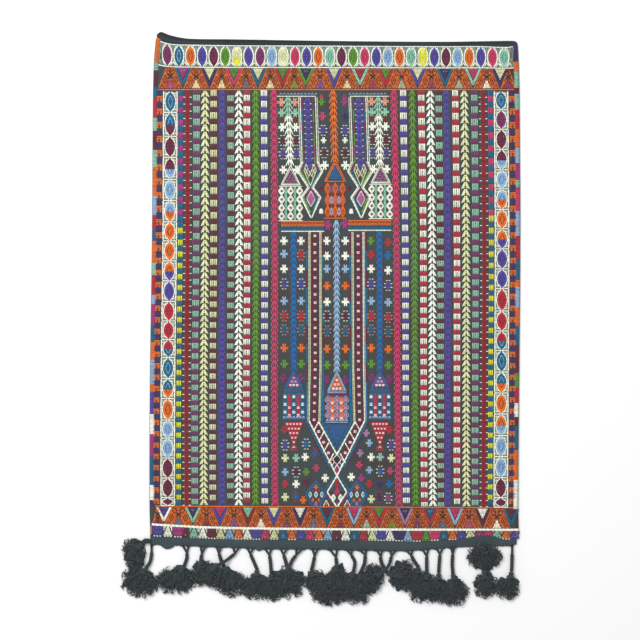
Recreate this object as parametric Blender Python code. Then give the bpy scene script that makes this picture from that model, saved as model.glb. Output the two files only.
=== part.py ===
# A brocaded flat-woven cloth (jajim) lying face up on a flat surface, with a dark binding
# along its top edge and tasselled cords along its lower edge.
# Units are metres, +Z is up, and +Y runs from the tassels towards the bound edge.
# The origin lies on the surface, below the middle of the whole piece.

import math

import bmesh
import bpy
from mathutils import Vector

MM = 0.001
GAP = 0.3 * MM                 # clearance between pieces that touch

# Woven cloth
CLOTH_THICKNESS = 2.4 * MM
RIB_HEIGHT = 0.8 * MM          # how far the brocaded ribs and bands stand above the ground weave
BAND_TOP_Y = 0.546             # nominal upper edge of the weaving
FIELD_TOP_Y = 0.459            # where the upright columns start, below two cross bands
FIELD_LOW_Y = -0.376           # where they end, above two more cross bands
BAND_LOW_Y = -0.442            # nominal lower edge of the weaving
FIELD_STEPS = 7                # cross sections down the length of the columns
FIELD_INSET = 3.0 * MM         # from the field's ends to the first and last raised line
BAND_SLOPE = 2.0 * MM          # from a band's raised edge down to the ground weave

# Binding
BINDING_THICKNESS = 4.2 * MM
BINDING_CORNER_X = -0.24       # left of this the edge curves up, and every station is kept
BINDING_KEEP = 4               # elsewhere one station in this many is kept
BINDING_ROUND = 5.0 * MM       # length of the rounded right end
BINDING_LEFT_END = (0.72, 0.75)     # shares of the width and the thickness left at that end
BINDING_RIGHT_END = (0.50, 0.70)
# Two strands side by side: (share of the width, share of the thickness), counterclockwise
BINDING_PROFILE = [(0.0, 0.0), (1.0, 0.0), (1.0, 0.55), (0.86, 0.98), (0.66, 1.0), (0.52, 0.72),
                   (0.38, 0.94), (0.15, 0.90), (0.0, 0.55)]

# Heading and cords
HEADING_THICKNESS = 2.8 * MM
HEADING_LAST_X = 0.3925        # where the lower edge ends
HEADING_TIP_X = 0.3962         # where its slanting right end meets the weaving
EDGE_RISE = 0.6 * MM           # of the lower edge between two cords
STUB_HALF = 6.5 * MM           # half width of a small point of the lower edge
LEFT_CORD_RISE = 7.5 * MM      # height of the left end wall that the first cord leaves from
LEFT_CORD_OUT = 0.8 * MM
CORD_WIDTH = 6.0 * MM
CORD_HEIGHT = 5.6 * MM
JOIN_HEIGHT = 5.0 * MM         # where the two legs of a pair come together
LEG_ROOT_WIDTH = 6.4 * MM
LEG_JOIN_WIDTH = 3.7 * MM
CROSSING_LIFT = 6.4 * MM       # a cord that passes over another one rises this far

# Tassels
HEAD_LENGTH = 10.0 * MM
HEAD_HEIGHT = 12.0 * MM
HEAD_SHOULDER = 4.5 * MM       # from the back of the head to its full width and height
HEAD_BACK = 0.64               # width of the back as a share of the head's width
HEAD_SWELL = {0.0: 0.84, 0.5: 1.0, 1.0: 0.72}     # share of the width by share of the height
LOCK_BEND = 0.45               # share of a lock's length at which it swells and turns outwards
LOCK_START = 0.6               # share of its final turn that it takes at the root
LOCK_FILL = 0.93               # share of the pitch between locks that a lock fills
TIP_FILL = 0.80                # the same at its blunt tip
LENGTH_SCATTER = 0.05          # unevenness of the lengths
LENGTH_FALL = 1.6              # how sharply the locks shorten towards the sides of the fan
# Locks of each row: share they are shorter by, (underside, top) at the bend and at the tip
LOCK_ROWS = [
    (0.00, (0.0, 5.4 * MM), (0.0, 2.4 * MM)),
    (0.10, (6.0 * MM, 11.0 * MM), (3.4 * MM, 5.8 * MM)),
]
FLIPPED_HEIGHTS = ((8.5 * MM, 15.0 * MM), (6.4 * MM, 9.0 * MM))

# Edges of the cloth: (y, x) down each side, (x, y) along the top and the bottom
LEFT_EDGE = [(-0.450, -0.3395), (-0.362, -0.3413), (-0.122, -0.3405), (0.158, -0.3365),
             (0.438, -0.3345), (0.508, -0.3325), (0.560, -0.3270)]
RIGHT_EDGE = [(-0.450, 0.3970), (-0.362, 0.3955), (-0.122, 0.3975), (0.158, 0.3995),
              (0.438, 0.3980), (0.508, 0.3965), (0.560, 0.3940)]
TOP_EDGE = [(-0.3275, 0.5596), (-0.3127, 0.5528), (-0.2930, 0.5490), (-0.2605, 0.5480),
            (-0.1705, 0.5468), (0.0200, 0.5460), (0.2395, 0.5448), (0.3195, 0.5450),
            (0.3775, 0.5436), (0.3947, 0.5480)]
LOW_EDGE = [(-0.3405, -0.4340), (-0.2925, -0.4360), (-0.2505, -0.4380), (-0.1665, -0.4405),
            (-0.0665, -0.4415), (0.0395, -0.4425), (0.1415, -0.4435), (0.1935, -0.4450),
            (0.2195, -0.4435), (0.2815, -0.4400), (0.3075, -0.4345), (0.3295, -0.4325),
            (0.3435, -0.4330), (0.3695, -0.4405), (0.3965, -0.4390)]
BINDING_TOP = [(-0.3230, 0.5735), (-0.3170, 0.5742), (-0.3045, 0.5690), (-0.2817, 0.5632),
               (-0.2587, 0.5602), (-0.1705, 0.5592), (0.0200, 0.5560), (0.2395, 0.5542),
               (0.3430, 0.5556), (0.3890, 0.5560), (0.3940, 0.5545)]
HEADING_LOW = [(-0.3405, -0.4520), (-0.3210, -0.4518), (-0.2855, -0.4530), (-0.2160, -0.4560),
               (-0.1530, -0.4580), (-0.1180, -0.4600), (-0.0270, -0.4605), (0.0440, -0.4620),
               (0.1650, -0.4640), (0.2240, -0.4605), (0.2760, -0.4565), (0.3400, -0.4545),
               (0.3800, -0.4535), (0.3930, -0.4500)]

# Upright ribs of the field: (middle at the field's top, middle at its foot, half width)
FIELD_RIBS = [
    (-0.3300, -0.3373, 0.0036), (-0.3208, -0.3278, 0.0034), (-0.2993, -0.3045, 0.0140),
    (-0.2785, -0.2825, 0.0040), (-0.2650, -0.2665, 0.0055), (-0.2470, -0.2505, 0.0060),
    (-0.2300, -0.2325, 0.0070), (-0.2130, -0.2145, 0.0060), (-0.1960, -0.1960, 0.0070),
    (-0.1793, -0.1793, 0.0060), (-0.1627, -0.1627, 0.0070), (-0.1467, -0.1467, 0.0060),
    (-0.1290, -0.1290, 0.0070), (-0.1125, -0.1105, 0.0060), (-0.0927, -0.0900, 0.0070),
    (-0.0640, -0.0570, 0.0170), (-0.0235, -0.0110, 0.0175), (0.0300, 0.0330, 0.0190),
    (0.0765, 0.0765, 0.0175), (0.1160, 0.1200, 0.0170),
    (0.1470, 0.1575, 0.0070), (0.1655, 0.1725, 0.0060), (0.1835, 0.1910, 0.0070),
    (0.2015, 0.2083, 0.0060), (0.2195, 0.2255, 0.0070), (0.2363, 0.2415, 0.0060),
    (0.2515, 0.2555, 0.0065), (0.2695, 0.2735, 0.0060), (0.2875, 0.2925, 0.0070),
    (0.3075, 0.3095, 0.0060), (0.3250, 0.3270, 0.0055), (0.3395, 0.3395, 0.0040),
    (0.3610, 0.3610, 0.0140), (0.3835, 0.3835, 0.0034), (0.3940, 0.3920, 0.0034),
]

# Cross bands: (upper edge, lower edge) of each raised band, from the top down
TOP_BANDS = [(0.543, 0.504), (0.500, 0.461)]
LOW_BANDS = [(-0.379, -0.416), (-0.421, -0.439)]

# Small points of the heading's lower edge where a cord is missing: (x, drop)
STUBS = [(-0.3055, 0.008), (-0.1225, 0.004)]

# Cords: roots on the heading (two make a pair), the join of the pair, and further points as
# (x, y, lift above the surface). "end" shifts the cord's end sideways on its tassel's head.
CORDS = [
    {"tassel": "tassel_01", "roots": ["left_end"], "join": None, "end": 0.0,
     "route": [(-0.3475, -0.4495, 0.0)]},
    {"tassel": "tassel_02", "roots": [-0.3371], "join": None, "end": 0.0,
     "route": [(-0.3372, -0.4700, 0.0), (-0.3400, -0.4850, 0.0)]},
    {"tassel": "tassel_03", "roots": [-0.2755, -0.2625], "join": (-0.2665, -0.4670), "end": 0.0,
     "route": [(-0.2670, -0.4790, 0.0)]},
    {"tassel": "tassel_04", "roots": [-0.2395, -0.2285], "join": (-0.2365, -0.4685), "end": 0.0,
     "route": [(-0.2380, -0.4770, 0.0)]},
    {"tassel": "tassel_05", "roots": [-0.2080, -0.1970], "join": (-0.2030, -0.4670), "end": 0.0,
     "route": [(-0.1980, -0.4830, 0.0)]},
    {"tassel": "tassel_06", "roots": [-0.1745, -0.1617], "join": (-0.1705, -0.4690), "end": 0.0,
     "route": [(-0.1810, -0.4770, 0.0), (-0.1895, -0.4830, CROSSING_LIFT),
               (-0.2010, -0.4895, CROSSING_LIFT)]},
    {"tassel": "tassel_07", "roots": [-0.1465, -0.1335], "join": (-0.1400, -0.4690), "end": 0.0,
     "route": [(-0.1320, -0.4870, 0.0)]},
    {"tassel": "tassel_08", "roots": [-0.1115, -0.0975], "join": (-0.1017, -0.4715), "end": 0.0,
     "route": [(-0.0995, -0.4880, 0.0)]},
    {"tassel": "tassel_09", "roots": [-0.0800, -0.0660], "join": (-0.0737, -0.4705), "end": -0.0036,
     "route": [(-0.0700, -0.4820, 0.0)]},
    {"tassel": "tassel_09", "roots": [-0.0480, -0.0340], "join": (-0.0480, -0.4715), "end": 0.0036,
     "route": [(-0.0560, -0.4820, 0.0)]},
    {"tassel": "tassel_10", "roots": [-0.0158, -0.0045], "join": (-0.0115, -0.4735), "end": 0.0,
     "route": [(-0.0135, -0.4850, 0.0)]},
    {"tassel": "tassel_11", "roots": [0.0180, 0.0340], "join": (0.0310, -0.4755), "end": 0.0,
     "route": [(0.0318, -0.4820, 0.0)]},
    {"tassel": "tassel_12", "roots": [0.0520, 0.0640], "join": (0.0615, -0.4710), "end": 0.0,
     "route": [(0.0690, -0.4860, 0.0)]},
    {"tassel": "tassel_13", "roots": [0.0770, 0.0920], "join": (0.0900, -0.4710), "end": 0.0,
     "route": [(0.0875, -0.4900, 0.0)]},
    {"tassel": "tassel_15", "roots": [0.1120, 0.1240], "join": (0.1205, -0.4735), "end": 0.0,
     "route": [(0.1215, -0.4850, 0.0)]},
    {"tassel": "tassel_14", "roots": [0.1385, 0.1510], "join": (0.1425, -0.4730), "end": 0.0,
     "route": [(0.1400, -0.4830, 0.0), (0.1365, -0.4915, CROSSING_LIFT),
               (0.1295, -0.5010, CROSSING_LIFT)]},
    {"tassel": "tassel_16", "roots": [0.1715, 0.1840], "join": (0.1815, -0.4720), "end": 0.0,
     "route": [(0.1885, -0.4850, 0.0)]},
    {"tassel": "tassel_17", "roots": [0.2035, 0.2160], "join": (0.2125, -0.4735), "end": 0.0,
     "route": [(0.2125, -0.4920, 0.0)]},
    {"tassel": "tassel_18", "roots": [0.2315, 0.2450], "join": (0.2390, -0.4700), "end": 0.0,
     "route": [(0.2375, -0.4900, 0.0)]},
    {"tassel": "tassel_19", "roots": [0.2605, 0.2690], "join": (0.2645, -0.4690), "end": 0.0,
     "route": [(0.2635, -0.4900, 0.0)]},
    {"tassel": "tassel_20", "roots": [0.3205, 0.3335], "join": (0.3275, -0.4715), "end": 0.0,
     "route": [(0.3275, -0.4850, 0.0)]},
    {"tassel": "tassel_21", "roots": [0.3835], "join": None, "end": 0.0,
     "route": [(0.3832, -0.4740, 0.0), (0.3826, -0.4940, 0.0)]},
]

# Tassels: back of the head (x, y), the way the head points, the fan of its locks from angle to
# angle (degrees, counterclockwise from +X), lock length, length of the outermost locks as a
# share of that, width of the head, and locks in each of the two rows.
TASSEL_COLUMNS = ("name", "x", "y", "points", "fan_from", "fan_to", "length", "side", "head", "locks")
TASSELS = [
    ("tassel_01", -0.3570, -0.4480, 218, 142, 292, 0.036, 0.85, 0.012, 6),
    ("tassel_02", -0.3490, -0.4985, 240, 172, 318, 0.046, 0.88, 0.012, 7),
    ("tassel_03", -0.2730, -0.4955, 245, 190, 300, 0.050, 0.88, 0.012, 7),
    ("tassel_04", -0.2390, -0.4860, 266, 246, 276, 0.043, 0.85, 0.012, 6),
    ("tassel_05", -0.1915, -0.4960, 300, 243, 348, 0.050, 0.66, 0.012, 7),
    ("tassel_06", -0.2080, -0.4935, 226, 259, 288, 0.039, 0.90, 0.012, 5),
    ("tassel_07", -0.1262, -0.5010, 266, 246, 284, 0.050, 0.88, 0.012, 6),
    ("tassel_08", -0.0980, -0.5100, 266, 252, 283, 0.043, 0.88, 0.012, 6),
    ("tassel_09", -0.0640, -0.4920, 270, 239, 314, 0.054, 0.75, 0.019, 8),
    ("tassel_10", -0.0175, -0.5020, 272, 246, 296, 0.061, 0.80, 0.013, 7),
    ("tassel_11", 0.0325, -0.4900, 266, 251, 276, 0.072, 0.78, 0.016, 7),
    ("tassel_12", 0.0660, -0.5060, 265, 249, 267, 0.053, 0.90, 0.011, 5),
    ("tassel_13", 0.0785, -0.5100, 270, 267, 284, 0.046, 0.90, 0.011, 5),
    ("tassel_14", 0.1225, -0.5060, 216, 180, 272, 0.028, 0.95, 0.012, 6),
    ("tassel_15", 0.1330, -0.5065, 334, 260, 400, 0.037, 0.75, 0.013, 7),
    ("tassel_16", 0.1965, -0.4960, 262, 246, 268, 0.061, 0.90, 0.012, 5),
    ("tassel_17", 0.2130, -0.5100, 268, 255, 280, 0.045, 0.90, 0.011, 5),
    ("tassel_18", 0.2365, -0.5100, 270, 257, 282, 0.048, 0.90, 0.011, 5),
    ("tassel_19", 0.2650, -0.5110, 277, 256, 308, 0.050, 0.88, 0.012, 7),
    ("tassel_20", 0.3275, -0.5010, 270, 240, 300, 0.045, 0.88, 0.019, 7),
    ("tassel_21", 0.3820, -0.5070, 262, 230, 294, 0.039, 0.90, 0.012, 7),
]

# Locks of one tassel that lie flipped back over its cord and the heading
FLIPPED = {"tassel": "tassel_20", "fan_from": 58, "fan_to": 122, "length": 0.064, "side": 0.86,
           "locks": 7}

COLOURS = {
    "woven_cloth": (0.130, 0.055, 0.050),
    "top_binding": (0.020, 0.026, 0.032),
    "fringe_heading": (0.030, 0.042, 0.046),
    "tassel": (0.022, 0.032, 0.036),
}


def clear_scene():
    for item in list(bpy.data.objects):
        bpy.data.objects.remove(item, do_unlink=True)


def wool(name, colour):
    """Plain matt wool of one colour."""
    material = bpy.data.materials.new(name)
    material.use_nodes = True
    shader = material.node_tree.nodes["Principled BSDF"]
    shader.inputs["Base Color"].default_value = (*colour, 1.0)
    shader.inputs["Roughness"].default_value = 0.9
    shader.inputs["Metallic"].default_value = 0.0
    return material


def add_object(name, mesh_data, colour):
    mesh = bpy.data.meshes.new(name)
    mesh_data.to_mesh(mesh)
    mesh_data.free()
    piece = bpy.data.objects.new(name, mesh)
    piece.data.materials.append(wool(name + "_wool", colour))
    bpy.context.scene.collection.objects.link(piece)
    return piece


def along(rows, at):
    """Value at one place of the smooth curve through (place, value) rows."""
    if at <= rows[0][0]:
        return rows[0][1]
    if at >= rows[-1][0]:
        return rows[-1][1]

    def slope(index):
        before = rows[max(index - 1, 0)]
        after = rows[min(index + 1, len(rows) - 1)]
        return (after[1] - before[1]) / (after[0] - before[0])

    index = max(i for i in range(len(rows) - 1) if rows[i][0] <= at)
    span = rows[index + 1][0] - rows[index][0]
    t = (at - rows[index][0]) / span
    return ((2 * t ** 3 - 3 * t ** 2 + 1) * rows[index][1]
            + (t ** 3 - 2 * t ** 2 + t) * span * slope(index)
            + (3 * t ** 2 - 2 * t ** 3) * rows[index + 1][1]
            + (t ** 3 - t ** 2) * span * slope(index + 1))


def clamp(value):
    return min(max(value, 0.0), 1.0)


def across(x, y):
    """Share of the cloth's width, 0 at the left edge and 1 at the right edge."""
    left, right = along(LEFT_EDGE, y), along(RIGHT_EDGE, y)
    return (x - left) / (right - left)


def cloth_point(share_top, share_low, y):
    """Place of an upright line of the weave at the nominal height y."""
    fall = clamp((FIELD_TOP_Y - y) / (FIELD_TOP_Y - FIELD_LOW_Y))
    share = share_top + (share_low - share_top) * fall
    left, right = along(LEFT_EDGE, y), along(RIGHT_EDGE, y)
    x = left + share * (right - left)
    near_top = clamp((y - FIELD_TOP_Y) / (BAND_TOP_Y - FIELD_TOP_Y))
    near_low = clamp((FIELD_LOW_Y - y) / (FIELD_LOW_Y - BAND_LOW_Y))
    shift = near_top * (along(TOP_EDGE, x) - BAND_TOP_Y) + near_low * (along(LOW_EDGE, x) - BAND_LOW_Y)
    return x, y + shift


def upright_lines():
    """Lines of the weave from left to right: (share at the top, share at the foot, raised)."""
    lines = [(0.0, 0.0, False)]
    for index, (top, low, half) in enumerate(FIELD_RIBS):
        if index > 0:
            before = FIELD_RIBS[index - 1]
            valley_top = (before[0] + before[2] + top - half) / 2
            valley_low = (before[1] + before[2] + low - half) / 2
            lines.append((across(valley_top, FIELD_TOP_Y), across(valley_low, FIELD_LOW_Y), False))
        for side in (-half, half):
            lines.append((across(top + side, FIELD_TOP_Y), across(low + side, FIELD_LOW_Y), True))
    lines.append((1.0, 1.0, False))
    return lines


def cross_lines():
    """Lines from the top down: (nominal y, "ground", "band" or "field")."""
    lines = [(BAND_TOP_Y, "ground")]
    for upper, lower in TOP_BANDS:
        lines += [(upper, "band"), (lower, "band")]
        lines.append((lower - BAND_SLOPE, "ground"))
    first, last = FIELD_TOP_Y - FIELD_INSET, FIELD_LOW_Y + FIELD_INSET
    for step in range(FIELD_STEPS + 1):
        lines.append((first + (last - first) * step / FIELD_STEPS, "field"))
    lines.append((FIELD_LOW_Y, "ground"))
    for upper, lower in LOW_BANDS:
        lines += [(upper, "band"), (lower, "band")]
        if lower != LOW_BANDS[-1][1]:
            lines.append((lower - BAND_SLOPE, "ground"))
    lines.append((BAND_LOW_Y, "ground"))
    return lines


def build_cloth():
    body = bmesh.new()
    uprights, crossings = upright_lines(), cross_lines()
    last_column = len(uprights) - 1
    grid = []
    for y, kind in crossings:
        row = []
        for column, (share_top, share_low, raised) in enumerate(uprights):
            x, real_y = cloth_point(share_top, share_low, y)
            inside = 0 < column < last_column
            lifted = inside and (kind == "band" or (kind == "field" and raised))
            row.append(body.verts.new((x, real_y, CLOTH_THICKNESS + RIB_HEIGHT * lifted)))
        grid.append(row)
    for upper, lower in zip(grid, grid[1:]):
        for column in range(last_column):
            body.faces.new((lower[column], lower[column + 1], upper[column + 1], upper[column]))
    rim = [row[0] for row in grid] + grid[-1][1:]
    rim += [row[-1] for row in reversed(grid[:-1])] + list(reversed(grid[0][1:-1]))
    foot = [body.verts.new((vert.co.x, vert.co.y, 0.0)) for vert in rim]
    for index in range(len(rim)):
        after = (index + 1) % len(rim)
        body.faces.new((foot[index], foot[after], rim[after], rim[index]))
    body.faces.new(list(reversed(foot)))
    return add_object("woven_cloth", body, COLOURS["woven_cloth"])


def cloth_edge(y):
    """Corners of the weaving from left to right along one nominal height."""
    return [cloth_point(top, low, y) for top, low, raised in upright_lines()]


def on_edge(points, x):
    """Height of the straight run between two corners of an edge, at x."""
    for start, end in zip(points, points[1:]):
        if x <= end[0] or end is points[-1]:
            share = clamp((x - start[0]) / (end[0] - start[0]))
            return start[1] + share * (end[1] - start[1])
    return points[-1][1]


def build_binding():
    """Two dark strands side by side along the top edge, on one flat underside."""
    corners = cloth_edge(BAND_TOP_Y)
    right_end = corners[-1]
    round_x = right_end[0] - BINDING_ROUND
    edge = [point for index, point in enumerate(corners[1:])
            if point[0] < BINDING_CORNER_X or index % BINDING_KEEP == 0]
    edge = [point for point in edge if point[0] < round_x - BINDING_ROUND / 2]
    edge += [(round_x, on_edge(corners, round_x)), right_end]
    body = bmesh.new()
    rings = []
    for station, (x, cloth_y) in enumerate(edge):
        low = cloth_y + GAP
        high = along(BINDING_TOP, x)
        squeeze, flatten = 1.0, 1.0
        if station == 0:
            squeeze, flatten = BINDING_LEFT_END
        if station == len(edge) - 1:
            squeeze, flatten = BINDING_RIGHT_END
        ring = []
        for out, up in BINDING_PROFILE:
            y = low + (high - low) * (0.5 + (out - 0.5) * squeeze)
            ring.append(body.verts.new((x, y, up * BINDING_THICKNESS * flatten)))
        rings.append(ring)
    count = len(BINDING_PROFILE)
    for ring, after in zip(rings, rings[1:]):
        for index in range(count):
            follow = (index + 1) % count
            body.faces.new((ring[index], ring[follow], after[follow], after[index]))
    body.faces.new(list(reversed(rings[0])))
    body.faces.new(rings[-1])
    bmesh.ops.recalc_face_normals(body, faces=body.faces)
    return add_object("top_binding", body, COLOURS["top_binding"])


def extrude_plan(corners, cells):
    """Closed body over flat cells: corners are (x, y, underside, top), cells run counterclockwise."""
    body = bmesh.new()
    under = [body.verts.new((x, y, low)) for x, y, low, high in corners]
    upper = [body.verts.new((x, y, high)) for x, y, low, high in corners]
    borders = set()
    for cell in cells:
        body.faces.new([upper[corner] for corner in cell])
        body.faces.new([under[corner] for corner in reversed(cell)])
        borders.update(zip(cell, cell[1:] + cell[:1]))
    for start, end in borders:
        if (end, start) not in borders:
            body.faces.new((under[start], under[end], upper[end], upper[start]))
    return body


def cord_ring(corners, place, direction, width, lift):
    """Two corners across a cord: to the right and to the left of its direction."""
    aside = Vector((-direction.y, direction.x)) * width / 2
    ring = []
    for side in (-1, 1):
        ring.append(len(corners))
        corners.append((place[0] + side * aside.x, place[1] + side * aside.y, lift, lift + CORD_HEIGHT))
    return ring


def tassel_row(name):
    for row in TASSELS:
        if row[0] == name:
            return dict(zip(TASSEL_COLUMNS, row))
    raise ValueError(name)


def heading_stations():
    """Corners of the heading's lower edge, from left to right, as (x, drop)."""
    roots = sorted(root for cord in CORDS for root in cord["roots"] if root != "left_end")
    half = LEG_ROOT_WIDTH / 2
    stations = []
    for index, root in enumerate(roots):
        if index > 0 and root - roots[index - 1] > 4 * half:
            stations.append(((root + roots[index - 1]) / 2, -EDGE_RISE))
        stations += [(root - half, 0.0), (root + half, 0.0)]
    for x, drop in STUBS:
        stations = [item for item in stations if abs(item[0] - x) > 1.5 * half or item[1] == 0.0]
        stations += [(x - STUB_HALF, 0.0), (x, drop), (x + STUB_HALF, 0.0)]
    stations.append((HEADING_LAST_X, 0.0))
    return sorted(stations)


def build_heading():
    corners, cells = [], []
    stations = heading_stations()
    edge = cloth_edge(BAND_LOW_Y)
    lower, upper = {}, {}
    for x, drop in stations:
        lower[x] = len(corners)
        corners.append((x, along(HEADING_LOW, x) - drop, 0.0, HEADING_THICKNESS))
    places = [x for x, drop in stations]
    between = [x for x, y in edge if places[0] < x < places[-1]]
    for x in places + between:
        upper[x] = len(corners)
        corners.append((x, on_edge(edge, x) - GAP, 0.0, HEADING_THICKNESS))
    for start, end in zip(places, places[1:]):
        run = sorted((x for x in upper if start <= x <= end), reverse=True)
        cells.append([lower[start], lower[end]] + [upper[x] for x in run])

    # left end: the first cord leaves sideways, so the end wall has a corner more
    left = places[0]
    left_mid = len(corners)
    left_y = along(HEADING_LOW, left) + LEFT_CORD_RISE
    corners.append((left - LEFT_CORD_OUT, left_y, 0.0, HEADING_THICKNESS))
    cells[0].append(left_mid)

    # right end: a slanting wall up to the corner of the cloth
    right_tip = len(corners)
    corners.append((HEADING_TIP_X, on_edge(edge, HEADING_TIP_X) - GAP, 0.0, HEADING_THICKNESS))
    cells.append([lower[places[-1]], right_tip, upper[places[-1]]])

    def root_edge(root):
        if root == "left_end":
            return left_mid, lower[left]
        half = LEG_ROOT_WIDTH / 2
        sides = [min(places, key=lambda x: abs(x - root - side)) for side in (-half, half)]
        return lower[sides[0]], lower[sides[1]]

    for cord in CORDS:
        tassel = tassel_row(cord["tassel"])
        turn = math.radians(tassel["points"])
        ahead = Vector((math.cos(turn), math.sin(turn)))
        aside = Vector((-ahead.y, ahead.x))
        end = Vector((tassel["x"], tassel["y"])) - ahead * GAP + aside * cord["end"]
        points = [Vector(point[:2]) for point in cord["route"]] + [end]
        lifts = [point[2] for point in cord["route"]] + [0.0]
        if cord["join"]:
            join = Vector(cord["join"])
            along_stem = (points[0] - join).normalized()
            side = Vector((-along_stem.y, along_stem.x))
            ring = []
            for step in (-1, 0, 1):
                place = join + side * step * LEG_JOIN_WIDTH
                ring.append(len(corners))
                corners.append((place.x, place.y, 0.0, JOIN_HEIGHT))
            for root, pair in zip(cord["roots"], ((0, 1), (1, 2))):
                left_root, right_root = root_edge(root)
                cells.append([left_root, ring[pair[0]], ring[pair[1]], right_root])
            start = [ring[0], ring[2], ring[1]]
            before = join
        else:
            left_root, right_root = root_edge(cord["roots"][0])
            start = [left_root, right_root]
            before = (Vector(corners[left_root][:2]) + Vector(corners[right_root][:2])) / 2
        for index, place in enumerate(points):
            if index + 1 < len(points):
                onward = (points[index + 1] - place).normalized()
                direction = ((place - before).normalized() + onward).normalized()
            else:
                direction = ahead
            ring = cord_ring(corners, place, direction, CORD_WIDTH, lifts[index])
            cells.append([start[0], ring[0], ring[1]] + start[1:])
            start = ring
            before = place
    return add_object("fringe_heading", extrude_plan(corners, cells), COLOURS["fringe_heading"])


def uneven(index, salt):
    """A fixed scatter between -1 and 1."""
    value = math.sin(index * 12.9898 + salt * 78.233) * 43758.5453
    return 2 * (value - math.floor(value)) - 1


def lock_length(row, share, salt):
    """Locks are longest in the middle of the fan and a little uneven."""
    fall = abs(2 * share - 1) ** LENGTH_FALL
    scatter = 1 + LENGTH_SCATTER * uneven(salt, row["length"] / MM)
    return row["length"] * (1 - (1 - row["side"]) * fall) * scatter


def grow_lock(body, root, centre, start_turn, turn, length, widths, heights):
    """One lock from its root quad: a swollen bend, then a narrow tip, both upright quads."""
    first = Vector((math.cos(start_turn), math.sin(start_turn)))
    second = Vector((math.cos(turn), math.sin(turn)))
    bend = centre + first * length * LOCK_BEND
    tip = bend + second * length * (1 - LOCK_BEND)
    before = root
    for place, ahead, width, (low, high) in zip((bend, tip), ((first + second).normalized(), second),
                                                widths, heights):
        aside = Vector((-ahead.y, ahead.x)) * width / 2
        right, left = place - aside, place + aside
        ring = [body.verts.new((right.x, right.y, low)), body.verts.new((left.x, left.y, low)),
                body.verts.new((left.x, left.y, high)), body.verts.new((right.x, right.y, high))]
        for index in range(4):
            follow = (index + 1) % 4
            body.faces.new((before[index], before[follow], ring[follow], ring[index]))
        before = ring
    body.faces.new(before)


def build_tassel(row):
    body = bmesh.new()
    turn = math.radians(row["points"])
    ahead = Vector((math.cos(turn), math.sin(turn)))
    aside = Vector((-ahead.y, ahead.x))
    back = Vector((row["x"], row["y"]))
    count = row["locks"]

    def head_vert(distance, side, height):
        place = back + ahead * distance + aside * side
        return body.verts.new((place.x, place.y, height))

    # back and shoulder: right bottom, left bottom, left middle, left top, right top, right middle
    outline = [(-1, 0.0), (1, 0.0), (1, 0.5), (1, 1.0), (-1, 1.0), (-1, 0.5)]
    head_half = row["head"] / 2
    rings = []
    for distance, half, height in ((0.0, head_half * HEAD_BACK, CORD_HEIGHT),
                                   (HEAD_SHOULDER, head_half, HEAD_HEIGHT)):
        rings.append([head_vert(distance, side * half * HEAD_SWELL[level], height * level)
                      for side, level in outline])

    # front: a grid of root quads, two rows high
    front = []
    for level in (0.0, 0.5, 1.0):
        half = head_half * HEAD_SWELL[level]
        front.append([head_vert(HEAD_LENGTH, half * (2 * step / count - 1), HEAD_HEIGHT * level)
                      for step in range(count + 1)])

    shoulder = rings[1]
    flipped = row["name"] == FLIPPED["tassel"]
    top_edge = [shoulder[4], shoulder[3]]
    if flipped:
        steps = FLIPPED["locks"]
        top_edge[1:1] = [body.verts.new(shoulder[4].co.lerp(shoulder[3].co, step / steps))
                         for step in range(1, steps)]
    body.faces.new(list(reversed(rings[0])))
    for index in range(6):
        follow = (index + 1) % 6
        rim = top_edge if index == 3 else [shoulder[follow], shoulder[index]]
        body.faces.new([rings[0][index], rings[0][follow]] + rim)
    body.faces.new([shoulder[0], shoulder[1]] + list(reversed(front[0])))
    body.faces.new((shoulder[1], shoulder[2], front[1][-1], front[0][-1]))
    body.faces.new((shoulder[2], shoulder[3], front[2][-1], front[1][-1]))
    body.faces.new((shoulder[5], shoulder[0], front[0][0], front[1][0]))
    body.faces.new((shoulder[4], shoulder[5], front[1][0], front[2][0]))

    fan_from, fan_to = math.radians(row["fan_from"]), math.radians(row["fan_to"])
    fan_step = (fan_to - fan_from) / count
    root_pitch = row["head"] / count
    for level, (shorter, bend_heights, tip_heights) in enumerate(LOCK_ROWS):
        for step in range(count):
            share = (step + 0.5) / count
            lock_turn = fan_from + fan_step * (step + 0.5)
            start_turn = turn + (lock_turn - turn) * LOCK_START
            root = [front[level][step], front[level][step + 1], front[level + 1][step + 1],
                    front[level + 1][step]]
            centre = sum((vert.co for vert in root), Vector()).to_2d() / 4
            length = lock_length(row, share, step + count * level) * (1 - shorter)
            bend_pitch = root_pitch + length * LOCK_BEND * fan_step * LOCK_START
            tip_pitch = bend_pitch + length * (1 - LOCK_BEND) * fan_step
            widths = (bend_pitch * LOCK_FILL, tip_pitch * TIP_FILL)
            heights = (bend_heights, tip_heights)
            grow_lock(body, root, centre, start_turn, lock_turn, length, widths, heights)

    if flipped:
        grow_flipped(body, row, top_edge, front[2])
    else:
        body.faces.new([shoulder[3], shoulder[4]] + front[2])
    bmesh.ops.recalc_face_normals(body, faces=body.faces)
    return add_object(row["name"], body, COLOURS["tassel"])


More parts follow.
